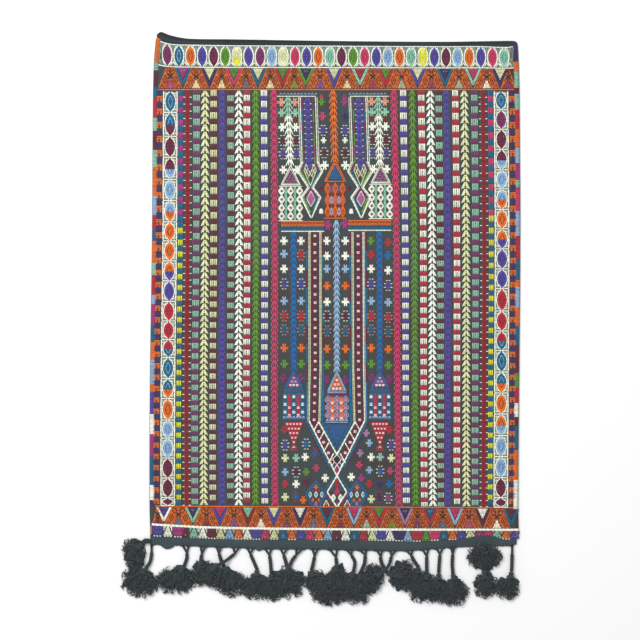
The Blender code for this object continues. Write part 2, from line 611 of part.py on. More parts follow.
def grow_flipped(body, row, edge, front_top):
    """Locks that rise from the top of the head and fall back over the cord and the heading."""
    count = FLIPPED["locks"]
    fan_from, fan_to = math.radians(FLIPPED["fan_from"]), math.radians(FLIPPED["fan_to"])
    fan_step = (fan_to - fan_from) / count
    straight_back = math.radians(row["points"] - 180)
    root_pitch = row["head"] * HEAD_SWELL[1.0] / count
    for step in range(count):
        lock_turn = fan_to - fan_step * (step + 0.5)
        start_turn = straight_back + (lock_turn - straight_back) * LOCK_START
        # the near edge of the root becomes the underside of the lock
        root = [edge[step + 1], edge[step], front_top[step], front_top[step + 1]]
        centre = ((edge[step].co + edge[step + 1].co) / 2).to_2d()
        length = lock_length(FLIPPED, (step + 0.5) / count, step)
        bend_pitch = root_pitch + length * LOCK_BEND * fan_step * LOCK_START
        tip_pitch = bend_pitch + length * (1 - LOCK_BEND) * fan_step
        widths = (bend_pitch * LOCK_FILL, tip_pitch * TIP_FILL)
        grow_lock(body, root, centre, start_turn, lock_turn, length, widths, FLIPPED_HEIGHTS)


def main():
    clear_scene()
    build_cloth()
    build_binding()
    build_heading()
    for values in TASSELS:
        build_tassel(dict(zip(TASSEL_COLUMNS, values)))


main()
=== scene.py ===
import math
import random
from functools import partial

import bpy
import numpy as np
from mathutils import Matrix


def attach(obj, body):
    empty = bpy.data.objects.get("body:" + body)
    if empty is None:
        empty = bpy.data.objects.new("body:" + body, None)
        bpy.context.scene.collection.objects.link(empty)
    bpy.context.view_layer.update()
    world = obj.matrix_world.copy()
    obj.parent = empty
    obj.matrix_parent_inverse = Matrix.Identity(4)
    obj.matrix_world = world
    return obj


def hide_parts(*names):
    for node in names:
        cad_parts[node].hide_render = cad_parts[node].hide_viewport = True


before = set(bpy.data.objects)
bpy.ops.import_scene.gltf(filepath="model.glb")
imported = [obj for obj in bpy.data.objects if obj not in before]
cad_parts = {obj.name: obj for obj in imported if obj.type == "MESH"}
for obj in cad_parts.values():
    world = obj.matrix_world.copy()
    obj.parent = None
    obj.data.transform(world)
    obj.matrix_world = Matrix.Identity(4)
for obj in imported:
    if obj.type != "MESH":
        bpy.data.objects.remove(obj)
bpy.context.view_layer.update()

bpy.ops.object.select_all(action="DESELECT")
dice = random.Random(7)  # the stitches' unevenness comes from this one seed
fullTurn = 6.2832
mapStep = 64.0  # mm between the stretches of map that two threads read

# The cloth's outline, in metres: (y, x) down the sides, (x, y) along the bands
cloth = {
    "groundTop": 0.0024,  # top of the ground weave above the surface it lies on
    "swell": 0.0005,  # how much the weaving puckers
    "bandTop": 0.546, "fieldTop": 0.459, "fieldLow": -0.376, "lineLow": -0.4185, "bandLow": -0.442,
    "leftEdge": [(-0.450, -0.3395), (-0.362, -0.3413), (-0.122, -0.3405), (0.158, -0.3365),
                 (0.438, -0.3345), (0.508, -0.3325), (0.560, -0.3270)],
    "rightEdge": [(-0.450, 0.3970), (-0.362, 0.3955), (-0.122, 0.3975), (0.158, 0.3995),
                  (0.438, 0.3980), (0.508, 0.3965), (0.560, 0.3940)],
    "topEdge": [(-0.3275, 0.5596), (-0.3127, 0.5528), (-0.2930, 0.5490), (-0.2605, 0.5480),
                (-0.1705, 0.5468), (0.0200, 0.5460), (0.2395, 0.5448), (0.3195, 0.5450),
                (0.3775, 0.5436), (0.3947, 0.5480)],
    "lineEdge": [(-0.3405, -0.4100), (-0.2205, -0.4165), (0.0195, -0.4200), (0.3955, -0.4214)],
    "lowEdge": [(-0.3405, -0.4340), (-0.2925, -0.4360), (-0.2505, -0.4380), (-0.1665, -0.4405),
                (-0.0665, -0.4415), (0.0395, -0.4425), (0.1415, -0.4435), (0.1935, -0.4450),
                (0.2195, -0.4435), (0.2815, -0.4400), (0.3075, -0.4345), (0.3295, -0.4325),
                (0.3435, -0.4330), (0.3695, -0.4405), (0.3965, -0.4390)],
}

yarnColours = {  # wool in daylight: red, green and blue from 0 to 255
    "white": (246, 248, 232), "ivory": (228, 230, 178), "grey": (150, 160, 150), "charcoal": (46, 52, 52),
    "orange": (230, 114, 34), "rust": (140, 42, 20), "umber": (92, 34, 22), "red": (190, 40, 58),
    "maroon": (104, 34, 58), "plum": (130, 50, 108), "magenta": (172, 56, 130), "pink": (206, 58, 108),
    "peach": (226, 160, 130), "indigo": (84, 74, 164), "purple": (66, 44, 104), "teal": (20, 104, 140),
    "azure": (28, 108, 172), "paleBlue": (150, 184, 216), "mint": (146, 200, 172), "green": (98, 152, 46),
    "yellow": (226, 222, 40), "lilac": (172, 128, 172), "silver": (206, 216, 196), "crimson": (156, 28, 44),
    "moss": (58, 108, 32), "shell": (246, 224, 226), "stone": (176, 188, 168),
}


def toLinear(colour):  # daylight values as the shader's own
    parts = [value / 255 for value in colour]
    return tuple(p / 12.92 if p <= 0.04045 else ((p + 0.055) / 1.055) ** 2.4 for p in parts)


def along(rows, at):  # smooth curve through (place, value) rows
    places, values = np.array(rows, float).T
    at = np.clip(np.asarray(at, float), places[0], places[-1])
    slopes = np.gradient(values)
    slopes[1:-1] = (values[2:] - values[:-2]) / (places[2:] - places[:-2])
    slopes[0] = (values[1] - values[0]) / (places[1] - places[0])
    slopes[-1] = (values[-1] - values[-2]) / (places[-1] - places[-2])
    index = np.clip(np.searchsorted(places, at, side="right") - 1, 0, len(places) - 2)
    span = places[index + 1] - places[index]
    t = (at - places[index]) / span
    return ((2 * t**3 - 3 * t**2 + 1) * values[index] + (t**3 - 2 * t**2 + t) * span * slopes[index]
            + (3 * t**2 - 2 * t**3) * values[index + 1] + (t**3 - t**2) * span * slopes[index + 1])


def across(x, y):  # share of the cloth's width
    left, right = along(cloth["leftEdge"], y), along(cloth["rightEdge"], y)
    return (x - left) / (right - left)


def bandShift(x, y):  # how far the cross bands follow the uneven edges
    nearTop = np.clip((y - cloth["fieldTop"]) / (cloth["bandTop"] - cloth["fieldTop"]), 0, 1)
    nearLine = np.clip((cloth["fieldLow"] - y) / (cloth["fieldLow"] - cloth["lineLow"]), 0, 1)
    nearLow = np.clip((cloth["lineLow"] - y) / (cloth["lineLow"] - cloth["bandLow"]), 0, 1)
    lineShift = along(cloth["lineEdge"], x) - cloth["lineLow"]
    lowShift = along(cloth["lowEdge"], x) - cloth["bandLow"]
    return (nearTop * (along(cloth["topEdge"], x) - cloth["bandTop"])
            + nearLine * lineShift + nearLow * (lowShift - lineShift))


def surfaceZ(x, y):  # the top of the ground weave, gently puckered
    pucker = np.sin(x * 23 + np.sin(y * 9) * 1.3) * np.sin(y * 17 + 0.7) + np.sin(x * 61 + y * 37) * 0.4
    return cloth["groundTop"] + cloth["swell"] * (0.7 + 0.5 * pucker)


def slabFaces(rows, columns):  # a grid, the same grid turned over beneath it and a wall round both
    width, count, faces = columns + 1, (rows + 1) * (columns + 1), []
    for row in range(rows):
        for column in range(columns):
            a = row * width + column
            faces.append((a + width, a + width + 1, a + 1, a))
            faces.append((count + a, count + a + 1, count + a + width + 1, count + a + width))
    rim = list(range(columns)) + [row * width + columns for row in range(rows)]
    rim += [rows * width + column for column in range(columns, 0, -1)]
    rim += [row * width for row in range(rows, 0, -1)]
    return faces + [(a, b, b + count, a + count) for a, b in zip(rim, rim[1:] + rim[:1])]


def meshPiece(name, places, faces, material, mapName=None, mapPlaces=None):
    mesh = bpy.data.meshes.new(name)
    mesh.from_pydata(places, [], faces)
    if mapName:
        layer = mesh.uv_layers.new(name=mapName)
        corners = np.empty(len(mesh.loops), np.int32)
        mesh.loops.foreach_get("vertex_index", corners)
        layer.uv.foreach_set("vector", np.asarray(mapPlaces, np.float32)[corners].ravel())
    mesh.materials.append(material)
    mesh.polygons.foreach_set("use_smooth", np.ones(len(mesh.polygons), bool))
    mesh.validate()
    mesh.update()
    piece = bpy.data.objects.new(name, mesh)
    bpy.context.scene.collection.objects.link(piece)
    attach(piece, "root")
    return piece


# ---- wool: materials from small helpers, then the yarn that every thread is spun from ----

def setNode(tree, node, **values):  # a node's attributes, input values and links
    for key, value in values.items():
        if hasattr(node, key):
            setattr(node, key, value)
        elif isinstance(value, bpy.types.NodeSocket):
            tree.links.new(value, node.inputs[key.replace("_", " ")])
        else:
            node.inputs[key.replace("_", " ")].default_value = value
    return node


def addNode(tree, kind, **values):
    node = tree.nodes.new(kind)
    node.location = (190 * len(tree.nodes) - 3000, 0)
    return setNode(tree, node, **values)


def calculate(tree, operation, *values):
    node = addNode(tree, "ShaderNodeMath", operation=operation)
    for socket, value in zip(node.inputs, values):
        if isinstance(value, bpy.types.NodeSocket):
            tree.links.new(value, socket)
        else:
            socket.default_value = value
    return node.outputs[0]


def objectPlace(tree):
    found = [node for node in tree.nodes if node.type == "TEX_COORD"]
    return (found or [addNode(tree, "ShaderNodeTexCoord")])[0].outputs["Object"]


def noise(tree, scale, detail):
    node = addNode(tree, "ShaderNodeTexNoise", Vector=objectPlace(tree), Scale=scale, Detail=detail)
    return node.outputs["Fac"]


def splitMap(tree, name):  # the two parts of a piece's own map
    both = addNode(tree, "ShaderNodeUVMap", uv_map=name).outputs["UV"]
    parts = addNode(tree, "ShaderNodeSeparateXYZ", Vector=both)
    return parts.outputs["X"], parts.outputs["Y"]


def whiteNoise(tree, seed):
    return addNode(tree, "ShaderNodeTexWhiteNoise", noise_dimensions="1D", W=seed).outputs["Value"]


def twoTone(tree, share, first, second):  # first and second are where each colour starts and the colour
    ramp = addNode(tree, "ShaderNodeValToRGB", Fac=share)
    for stop, (place, colour) in zip(ramp.color_ramp.elements, (first, second)):
        stop.position, stop.color = place, (*toLinear(colour), 1)
    return ramp.outputs["Color"]


def brightened(tree, colour, light):
    return addNode(tree, "ShaderNodeVectorMath", operation="SCALE", Vector=colour, Scale=light).outputs[0]


def newMaterial(name):
    material = bpy.data.materials.new(name)
    material.use_nodes = True
    return material, material.node_tree


def finishWool(tree, colour, height, strength, depth, **values):
    bump = addNode(tree, "ShaderNodeBump", Strength=strength, Distance=depth, Height=height)
    setNode(tree, tree.nodes["Principled BSDF"], Base_Color=colour, Normal=bump.outputs["Normal"], **values)


def spunWoolGroup():  # two plies twisted together, read from each stitch's own map
    group = bpy.data.node_groups.new("spunWool", "ShaderNodeTree")
    for name, way, kind in (("Yarn", "INPUT", "Color"), ("Twist", "INPUT", "Float"),
                            ("Uneven", "INPUT", "Float"), ("Colour", "OUTPUT", "Color"),
                            ("Height", "OUTPUT", "Float")):
        group.interface.new_socket(name, in_out=way, socket_type="NodeSocket" + kind)
    calc = partial(calculate, group)
    start = addNode(group, "NodeGroupInput").outputs
    length, girth = splitMap(group, "thread")
    turns = calc("MULTIPLY_ADD", length, 0.42, girth)  # so many for each millimetre
    ply = calc("SINE", calc("MULTIPLY", turns, fullTurn))
    fuzz, dye = noise(group, 1400.0, 3.0), noise(group, 26.0, 2.0)
    own = whiteNoise(group, calc("FLOOR", calc("DIVIDE", length, mapStep)))
    height = calc("MULTIPLY_ADD", ply, 0.35, calc("MULTIPLY", fuzz, 0.9))
    tone = calc("SUBTRACT", calc("MULTIPLY", calc("ADD", dye, own), start["Uneven"]), start["Uneven"])
    # painted shade: the wool darker along the grooves between its two plies
    paintedPlyShade = calc("MULTIPLY", calc("MULTIPLY", ply, 0.22), start["Twist"])
    fuzzTone = calc("MULTIPLY_ADD", fuzz, 0.5, -0.25)
    light = calc("ADD", calc("ADD", calc("ADD", tone, paintedPlyShade), fuzzTone), 1.06)
    away = calc("ABSOLUTE", calc("MULTIPLY_ADD", girth, 2.0, -1.0))
    gapShade = calc("MULTIPLY_ADD", calc("MULTIPLY", away, away), -0.36, 1.0)
    light = calc("MULTIPLY", light, gapShade)  # painted shade: each thread darker down its sides, where the gaps between threads fall into shade
    addNode(group, "NodeGroupOutput", Colour=brightened(group, start["Yarn"], light), Height=height)
    return group


spunWool = spunWoolGroup()


def woolMaterial(name, colour, twist=0.5, uneven=0.22):
    material, tree = newMaterial(name)
    wool = addNode(tree, "ShaderNodeGroup", node_tree=spunWool)
    # twist sets how strong the painted shade between the plies is
    setNode(tree, wool, Yarn=(*toLinear(colour), 1.0), Twist=twist, Uneven=uneven)
    finishWool(tree, wool.outputs["Colour"], wool.outputs["Height"], 0.6, 0.00035, Roughness=0.88,
               Specular_IOR_Level=0.18, Sheen_Weight=0.15, Sheen_Roughness=0.6)
    return material


# ---- ground weave ----

groundWeave = {"colour": (70, 79, 80), "warm": (80, 62, 60), "pick": 0.0018, "end": 0.0030, "columns": 100,
               "rows": 140, "edgeDrop": 0.0002}


def groundMaterial(name, colour, warm):
    material, tree = newMaterial(name)
    calc = partial(calculate, tree)
    place = addNode(tree, "ShaderNodeSeparateXYZ", Vector=objectPlace(tree)).outputs
    shift = calc("MULTIPLY", noise(tree, 60.0, 2.0), 5.0)  # no thread is quite straight
    picks = calc("SINE", calc("MULTIPLY_ADD", place["Y"], fullTurn / groundWeave["pick"], shift))
    ends = calc("SINE", calc("MULTIPLY_ADD", place["X"], fullTurn / 2 / groundWeave["end"], shift))
    height = calc("MULTIPLY_ADD", picks, 0.4, calc("ABSOLUTE", ends))
    height = calc("MULTIPLY_ADD", noise(tree, 900.0, 3.0), 0.5, height)
    tone = twoTone(tree, noise(tree, 9.0, 4.0), (0.46, colour), (0.80, warm))
    # painted shade: the low parts of the weave darker and its raised threads lighter
    tone = brightened(tree, tone, calc("MULTIPLY_ADD", height, 0.32, 0.66))
    finishWool(tree, tone, height, 0.7, 0.0005, Roughness=0.92, Specular_IOR_Level=0.15)
    return material


def buildGround():
    columns, rows = groundWeave["columns"], groundWeave["rows"]
    shares = np.linspace(0, 1, columns + 1)
    heights = np.linspace(cloth["bandTop"], cloth["bandLow"], rows + 1)
    left, right = along(cloth["leftEdge"], heights), along(cloth["rightEdge"], heights)
    x = left[:, None] + shares[None, :] * (right - left)[:, None]
    y = heights[:, None] + bandShift(x, np.repeat(heights[:, None], columns + 1, 1))
    z = surfaceZ(x, y)
    z[[0, -1]] -= groundWeave["edgeDrop"]
    top = np.stack([x, y, z], 2).reshape(-1, 3)
    material = groundMaterial("charcoalWeave", groundWeave["colour"], groundWeave["warm"])
    return meshPiece("ground_weave", np.vstack([top, top * (1, 1, 0)]), slabFaces(rows, columns), material)


groundSheet = buildGround()
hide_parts("woven_cloth")
print("ground weave", len(groundSheet.data.polygons))


# ---- brocading stitches: all of these sizes are in millimetres, on the evened-out cloth ----

stitches = {}  # yarn: rows of x, y, x, y, width, lift
thread = {"overlap": 0.6, "sunk": 0.3, "high": 0.86, "round": 0.13, "inset": 0.35, "shortest": 0.3}


def stitch(yarn, x0, y0, x1, y1, width=2.6, lift=0.0):
    stitches.setdefault(yarn, []).append((x0, y0, x1, y1, width, lift))


def motif(x, y, rows, tall=1.0):  # stitches set out from a middle and mirrored to its other side
    for side in (-1, 1):
        for yarn, u0, v0, u1, v1, width, lift in rows:
            stitch(yarn, x + side * u0, y + v0 * tall, x + side * u1, y + v1 * tall, width, lift)


def run(yarn, points, width=2.6, longest=7.0, lift=0.0):  # a line of stitches, each as long as a float can be
    for (x0, y0), (x1, y1) in zip(points, points[1:]):
        length = math.hypot(x1 - x0, y1 - y0)
        if length < thread["shortest"]:
            continue
        count = max(1, round(length / longest))
        ex, ey = (x1 - x0) / length * thread["overlap"], (y1 - y0) / length * thread["overlap"]
        for n in range(count):
            a, b = n / count, (n + 1) / count
            stitch(yarn, x0 + (x1 - x0) * a - ex, y0 + (y1 - y0) * a - ey,
                   x0 + (x1 - x0) * b + ex, y0 + (y1 - y0) * b + ey, width, lift)


def level(yarn, y, left, right, width=2.6, lift=0.3, tilt=0.0):
    run(yarn, [(left, y), (right, y + tilt)], width, 8, lift)


def fill(yarn, corners, spacing=2.5, longest=8.0, lift=0.0, upright=False):  # rows of stitches inside a shape
    turned = [(y, x) for x, y in corners] if upright else list(corners)
    low, high = min(y for x, y in turned), max(y for x, y in turned)
    count = max(1, round((high - low) / spacing))
    step = (high - low) / count
    for n in range(count):
        y = low + (n + 0.5) * step
        cuts = []
        for (x0, y0), (x1, y1) in zip(turned, turned[1:] + turned[:1]):
            if (y0 <= y) != (y1 <= y):
                cuts.append(x0 + (y - y0) / (y1 - y0) * (x1 - x0))
        cuts.sort()
        for a, b in zip(cuts[::2], cuts[1::2]):
            if b - a > 0.8:
                ends = [(y, a), (y, b)] if upright else [(a, y), (b, y)]
                run(yarn, ends, step * 1.06, longest, lift)


def block(yarn, left, right, high, low, *settings):
    fill(yarn, [(left, high), (right, high), (right, low), (left, low)], *settings)


def taper(yarn, x, high, low, top, foot, *settings):  # as wide as twice top above and twice foot below
    fill(yarn, [(x - top, high), (x + top, high), (x + foot, low), (x - foot, low)], *settings)


def halfOval(low, high, half, steps=6):  # how far out and how high along one side of a blunt oval
    shares = [n / steps for n in range(steps + 1)]
    return [(math.sin(math.pi * share) ** 0.62 * half, low + (high - low) * share) for share in shares]


def columnLine(top, foot):  # x of a column at a height, keeping its share of the width
    high, low = cloth["fieldTop"], cloth["fieldLow"]
    heights = np.linspace(low, cloth["bandTop"], 80)
    falls = np.clip((high - heights) / (high - low), 0, 1)
    shares = across(top / 1000, high) * (1 - falls) + across(foot / 1000, low) * falls
    left, right = along(cloth["leftEdge"], heights), along(cloth["rightEdge"], heights)
    places = (left + shares * (right - left)) * 1000
    return lambda y: float(np.interp(y / 1000, heights, places))


def sideAt(name, y):
    return float(along(cloth[name], y / 1000)) * 1000


def table(text):  # "red 12 -, teal 9 -" as rows of yarns, numbers and nothing
    return [[float(word) if word[-1].isdigit() else None if word == "-" else word for word in row.split()]
            for row in text.split(", ")]


# ---- selvages ----

selvage = {
    "width": 9.6, "pitch": 2.6, "edge": 0.3,
    "leftEdge": (-1, 550,
        "orange 44, mint 14, maroon 28, teal 20, red 42, mint 26, maroon 38, mint 34, orange 58, "
        "paleBlue 38, red 28, teal 24, orange 44, mint 24, red 40, paleBlue 18, magenta 42, teal 34, "
        "orange 36, paleBlue 48, orange 16, indigo 44, white 40, magenta 42, teal 60, white 30, purple 10"),
    "rightEdge": (1, 548,
        "purple 34, orange 20, mint 32, maroon 12, mint 32, red 38, orange 38, paleBlue 30, magenta 34, "
        "mint 14, pink 48, paleBlue 50, red 46, teal 42, orange 14, paleBlue 42, orange 36, teal 38, "
        "maroon 56, green 30, red 30, white 28, maroon 18, teal 48, orange 60, white 58"),
}


def weaveSelvage(name):
    side, y, colours = selvage[name]
    for yarn, length in table(colours):
        count = round(length / selvage["pitch"])
        for n in range(count):
            at = y - (n + 0.5) * length / count
            outer = sideAt(name, at) - side * selvage["edge"]
            inner = outer - side * (selvage["width"] + dice.uniform(-0.6, 0.6))
            slope = dice.uniform(-0.25, 0.25)
            stitch(yarn, outer, at - slope, inner, at + slope, selvage["pitch"] * 1.12, 0.1)
        y -= length
    print("selvage on the", name, "ends at", round(y))


weaveSelvage("leftEdge")
weaveSelvage("rightEdge")


# ---- columns of the field ----

field = {"top": 456.0, "low": -371.5, "end": -372.0, "drop": 3.4, "left": -340, "width": 730,
         "beat": [(-374, 0.89), (60, 0.94), (180, 1.04), (320, 1.13), (400, 1.10), (456, 0.95)]}


def footOf(line):  # the field ends a little lower towards the right
    return field["end"] - field["drop"] * (line(field["low"]) - field["left"]) / field["width"]


def beaten(pitch, y):  # the weft is beaten in less tightly high on the cloth
    return pitch * float(along(field["beat"], y))


def repeats(high, low, pitch):  # middles and half heights of shapes that fill the space one under another
    sizes, y = [], high
    while y > low + pitch * 0.5:
        sizes.append(beaten(pitch, y) + dice.uniform(-0.3, 0.3))
        y -= sizes[-1]
    scale, y = (high - low) / sum(sizes), high
    for size in sizes:
        yield y - size * scale / 2, size * scale / 2
        y -= size * scale


def weaveSquares(line, light, dark, pitch, first, darkWide=6.9):
    y, foot = field["top"] - first, footOf(line)
    top = y + beaten(pitch, y) * 0.29  # where the first pale square starts
    if field["top"] - top > 2:
        for u in (-0.8, -0.4, 0, 0.4, 0.8):
            ends = [(line(top) + u * darkWide, max(top, field["top"] - 7)),
                    (line(field["top"]) + u * darkWide, field["top"])]
            run(dark, ends, darkWide * 0.43, 12, -0.1)
    while y > foot + 2:
        x, tall = line(y), beaten(pitch, y) * 0.27
        wide, low = 6.6 + dice.uniform(-0.5, 0.5), max(y - tall, foot)
        for u in (-0.78, -0.34, 0.34, 0.78):  # the pale square is an n: uprights under a bar
            run(light, [(x + u * wide, low), (x + u * wide, y + tall)], wide * 0.44, 14)
        stitch("stone", x, y - tall * 0.95, x, y + tall * 0.2, 2.3, -0.3)
        stitch(light, x, y + tall * 0.4, x, y + tall)
        y -= beaten(pitch, y) / 2
        if y > foot + 2:
            x, wide = line(y), darkWide + dice.uniform(-0.7, 0.9)
            tall = beaten(pitch, y) * 0.21
            for part in range(5):
                u = wide * (0.4 * (part + 0.5) - 1)
                run(dark, [(x + u, max(y - tall, foot)), (x + u, y + tall)], wide * 0.43, 12, -0.1)
        y -= beaten(pitch, y) / 2 + dice.uniform(-0.6, 0.6)


def weaveArrows(line, yarn, pitch=13.0):
    for y, deep in repeats(field["top"], footOf(line), pitch):
        x, tall = line(y), deep * 1.04
        motif(x, y, [(yarn, 7.9, -1, 5.4, -0.2, 2.8, 0.1), (yarn, 6.6, -0.62, 0.5, 1, 3.8, 0.15),
                     (yarn, 4.0, -0.70, 0.6, 0.4, 3.4, 0), (yarn, 6.2, -0.62, 1.4, -0.66, 2.6, 0)], tall)
        stitch("charcoal", x, y - tall * 0.34, x, y - tall * 0.06, 2.0, 0.4)


def weaveSkirts(line, yarn, core, tick, high, low, half=7.0, pitch=13.0):  # one flared shape under another
    for y, tall in repeats(high, low, pitch):
        x = line(y)
        wide = half + dice.uniform(-0.3, 0.3)
        rows = [(yarn, wide + 1.0, -0.95, wide * 0.26, 1.1, 3.2, 0.1),
                (yarn, wide * 0.46, -0.9, wide * 0.10, 0.9, 3.0, 0),
                (yarn, wide * 0.34, -0.2, wide * 0.24, 1.4, 2.6, -0.1)]
        if tick == "white":
            rows.append((tick, wide + 2.6, -1, wide - 1.4, -1, 1.9, 0.35))
        elif tick:
            rows.append((tick, wide + 1.3, -1.15, wide - 0.9, -0.85, 1.5, 0.3))
        motif(x, y, rows, tall)
        stitch(core, x, y - tall * 0.80, x, y - tall * 0.30, 1.2, 0.3)


def weaveDiamonds(line, yarn, tick, pitch=13.8):
    for y, tall in repeats(field["top"], footOf(line), pitch):
        x, rows = line(y), []
        for v in (-1, 1):
            rows += [(yarn, 5.0, v * 0.6, 0.4, v * (tall + 0.3), 3.4, 0.1),
                     (yarn, 2.3, 0, 0.3, v * tall * 0.7, 2.8, 0),
                     (yarn, 4.2, v * tall * 0.55, 1.4, v * tall * 0.98, 2.6, -0.1)]
        motif(x, y, rows + [(tick, 8.8, -tall, 3.8, -tall, 2.1, 0.3)])
        stitch("charcoal", x, y - 1.2, x, y + 1.2, 1.7, 0.5)
        stitch("charcoal", x, y - tall - 1.0, x, y - tall + 1.0, 1.4, 0.5)


def weaveBlocks(line, firstYarn, secondYarn, half, pitch, first, dot):  # every other one is notched
    y, n, foot = field["top"] - first, 0, footOf(line)
    while y > foot + 3:
        yarn = firstYarn if n % 2 else secondYarn
        x, tall = line(y), beaten(pitch, y) * 0.235
        wide = half + dice.uniform(-0.4, 0.4)
        for v in (-0.75, -0.25, 0.25, 0.75):
            notched = n % 2 and v < 0
            for left, right in ((-wide, -1.2), (1.2, wide)) if notched else ((-wide, wide),):
                run(yarn, [(x + left, y + v * tall), (x + right, y + v * tall)], tall * 0.52, 7)
        if n % 2:
            stitch(dot, x, y - tall, x, y - 0.4, 2.0)
        y -= beaten(pitch, y) / 2
        n += 1


def weaveSmallBlocks(line, yarns, turn, later, half=4.8, pitch=23.0):
    y, n, foot = field["top"] - 4.5, 0, footOf(line)
    while y > foot + 3:
        x, tall = line(y), beaten(pitch, y) * 0.25
        yarn = yarns[n % 2] if y > turn else later[n % 2]
        for u in (-0.68, 0, 0.68):
            run(yarn, [(x + u * half, max(y - tall, foot)), (x + u * half, y + tall)], half * 0.74, 14)
        if yarn == "yellow":
            stitch("moss", x, y + 0.4, x, y - tall * 0.9, 1.7, 0.3)
        y -= beaten(pitch, y) / 2
        n += 1


shades = {  # darker thread inside each shape
    "orange": "umber", "teal": "paleBlue", "paleBlue": "azure", "maroon": "plum", "indigo": "purple",
    "red": "maroon", "plum": "maroon", "green": "moss", "ivory": "stone", "pink": "crimson", "mint": "teal",
    "yellow": "ivory"}


def weaveLozenge(x, low, high, half, yarns, lift=0.0):  # yarns of the upper and the lower half
    middle, reach = (low + high) / 2, (high - low) / 2
    topYarn, lowYarn = yarns.split("/")[0], yarns.split("/")[-1]
    for n in range(8):  # the fibres run along the arcs
        share = (n - 3.5) / 3.5
        span, shift = reach * (1 - 0.10 * (1 - abs(share))), 0.16 * (-1) ** n
        arc = [(x + half * share * max(0.0, math.cos(t * math.pi / 2)) ** 0.58, middle + t * span)
               for t in (-1, -0.7 + shift, -0.3 + shift, 0.1 + shift, 0.5 + shift, 1)]
        for a, b in zip(arc, arc[1:]):
            yarn = topYarn if (a[1] + b[1]) / 2 > middle else lowYarn
            run(yarn, [a, b], half * 0.34, 20, lift + dice.uniform(0, 0.15))
    for side in (-1, 1):
        for v, yarn in ((1, topYarn), (-1, lowYarn)):
            bent = [(half * 0.52, 0.4), (half * 0.30, reach * 0.36), (0.3, reach * 0.62)]
            bent = [(x + side * out, middle + v * up) for out, up in bent]
            run(shades.get(yarn, "charcoal"), bent, 1.9, 9, lift + 0.5)


nets = {  # x at the top and at the foot, then each cell's yarns and height
    "left": (-299.3, -304.5,
        "teal 43, teal/maroon 48, maroon 42, maroon/paleBlue 44, paleBlue 42, paleBlue/orange 43, "
        "orange 38, orange 40, orange/indigo 40, indigo 41, red 39, red 37, red/teal 36, teal 42, "
        "teal/orange 40, orange 43, paleBlue 36, paleBlue 40, maroon 40, maroon 39, maroon 16"),
    "right": (361.0, 361.0,
        "teal 38, plum 39, maroon 40, maroon/paleBlue 41, paleBlue 38, paleBlue/orange 41, orange 39, "
        "orange/indigo 40, indigo 40, indigo 39, red 45, red 40, red/teal 39, teal 43, teal/orange 42, "
        "orange 42, orange/paleBlue 43, paleBlue 42, paleBlue 42, maroon 40, maroon 19"),
}


def weaveNet(top, foot, cells):
    line = columnLine(top, foot)
    y, foot = field["top"], footOf(line)
    for yarns, tall in table(cells):
        top, low = y - 2.0, max(y - tall + 2.0, foot)
        x, middle = line((top + low) / 2), (top + low) / 2
        for n in range(10):  # pale threads lie under the whole cell
            u = -12.6 + n * 2.8
            run("silver", [(x + u, low), (x + u, top)], 2.9, 9, -0.6)
        weaveLozenge(x, low + 0.6, top - 0.6, 8.9, yarns, 0.35)
        for side in (-1, 1):
            run("white", [(x + side * (1.6 + u), v) for u, v in halfOval(low, top, 9.2)], 2.6, 9, 0.35)
            rim = [(x + side * 13.4, low - 1), (x + side * 13.8, middle), (x + side * 13.4, top + 1)]
            run("white", rim, 3.0, 8, 0.2)
            for v in (low + 2.6, top - 2.6):
                away = 1.6 if v < y - tall / 2 else -1.6
                stitch("moss", x + side * 8.0, v, x + side * 9.4, v, 1.2, 0.1)
                stitch("white", x + side * 5.0, v - 0.3, x + side * 11.6, v + away, 1.7, 0.15)
        run("white", [(x - 13.6, y - tall), (x + 13.6, y - tall)], 2.8, 7, 0.4)
        y -= tall
        if y < foot:
            break


fieldColumns = (  # kind, x at the top and at the foot, yarns, pitch, first
    "blocks -320.8 -327.8 orange purple 25 4, smallBlocks -278.5 -282.5 teal magenta 23 0, "
    "diamonds -265 -266.5 crimson white 13.8 0, squares -247 -250.5 mint plum 23 14, "
    "arrows -230 -232.5 ivory - 13 0, squares -213 -214.5 ivory maroon 22.4 4.5, "
    "skirts -196 -196 indigo pink 12.6 purple, squares -179.3 -179.3 mint maroon 22 15, "
    "arrows -162.7 -162.7 white - 13 0, squares -146.7 -146.7 white red 22.6 14, "
    "skirts -129 -129 green rust 12.6 moss, squares -112.5 -110.5 white indigo 22.6 4.5, "
    "skirts -92.7 -90 pink peach 13 crimson, skirts 147 157.5 pink peach 13 crimson, "
    "squares 165.5 172.5 white indigo 22.6 4.5, skirts 183.5 191 green rust 12.6 moss, "
    "squares 201.5 208.3 white red 22.6 14, arrows 219.5 225.5 white - 13 0, "
    "squares 236.3 241.5 mint maroon 22 15, skirts 251.5 255.5 indigo pink 12.6 purple, "
    "squares 269.5 273.5 white red 22.6 4.5, arrows 287.5 292.5 ivory - 13 0, "
    "squares 307.5 309.5 mint plum 23 14, diamonds 325 327 crimson white 13.8 0, "
    "smallBlocks 339.5 339.5 teal pink 23 0, blocks 383.5 383.5 orange purple 25 4")

for kind, top, foot, yarn, other, pitch, first in table(fieldColumns):
    line = columnLine(top, foot)
    if kind == "squares":
        weaveSquares(line, yarn, other, pitch, first)
    elif kind == "arrows":
        weaveArrows(line, yarn, pitch)
    elif kind == "skirts":
        weaveSkirts(line, yarn, first, other, field["top"], footOf(line), 5.9, pitch)
    elif kind == "diamonds":
        weaveDiamonds(line, yarn, other, pitch)
    elif kind == "blocks":
        weaveBlocks(line, yarn, other, 5.8, pitch, first, "maroon")
    else:
        weaveSmallBlocks(line, (yarn, other), 190 if top < 0 else 210, ("yellow", "teal"))
for net in nets.values():
    weaveNet(*net)
print("field columns", sum(map(len, stitches.values())))


# ---- cross bands ----

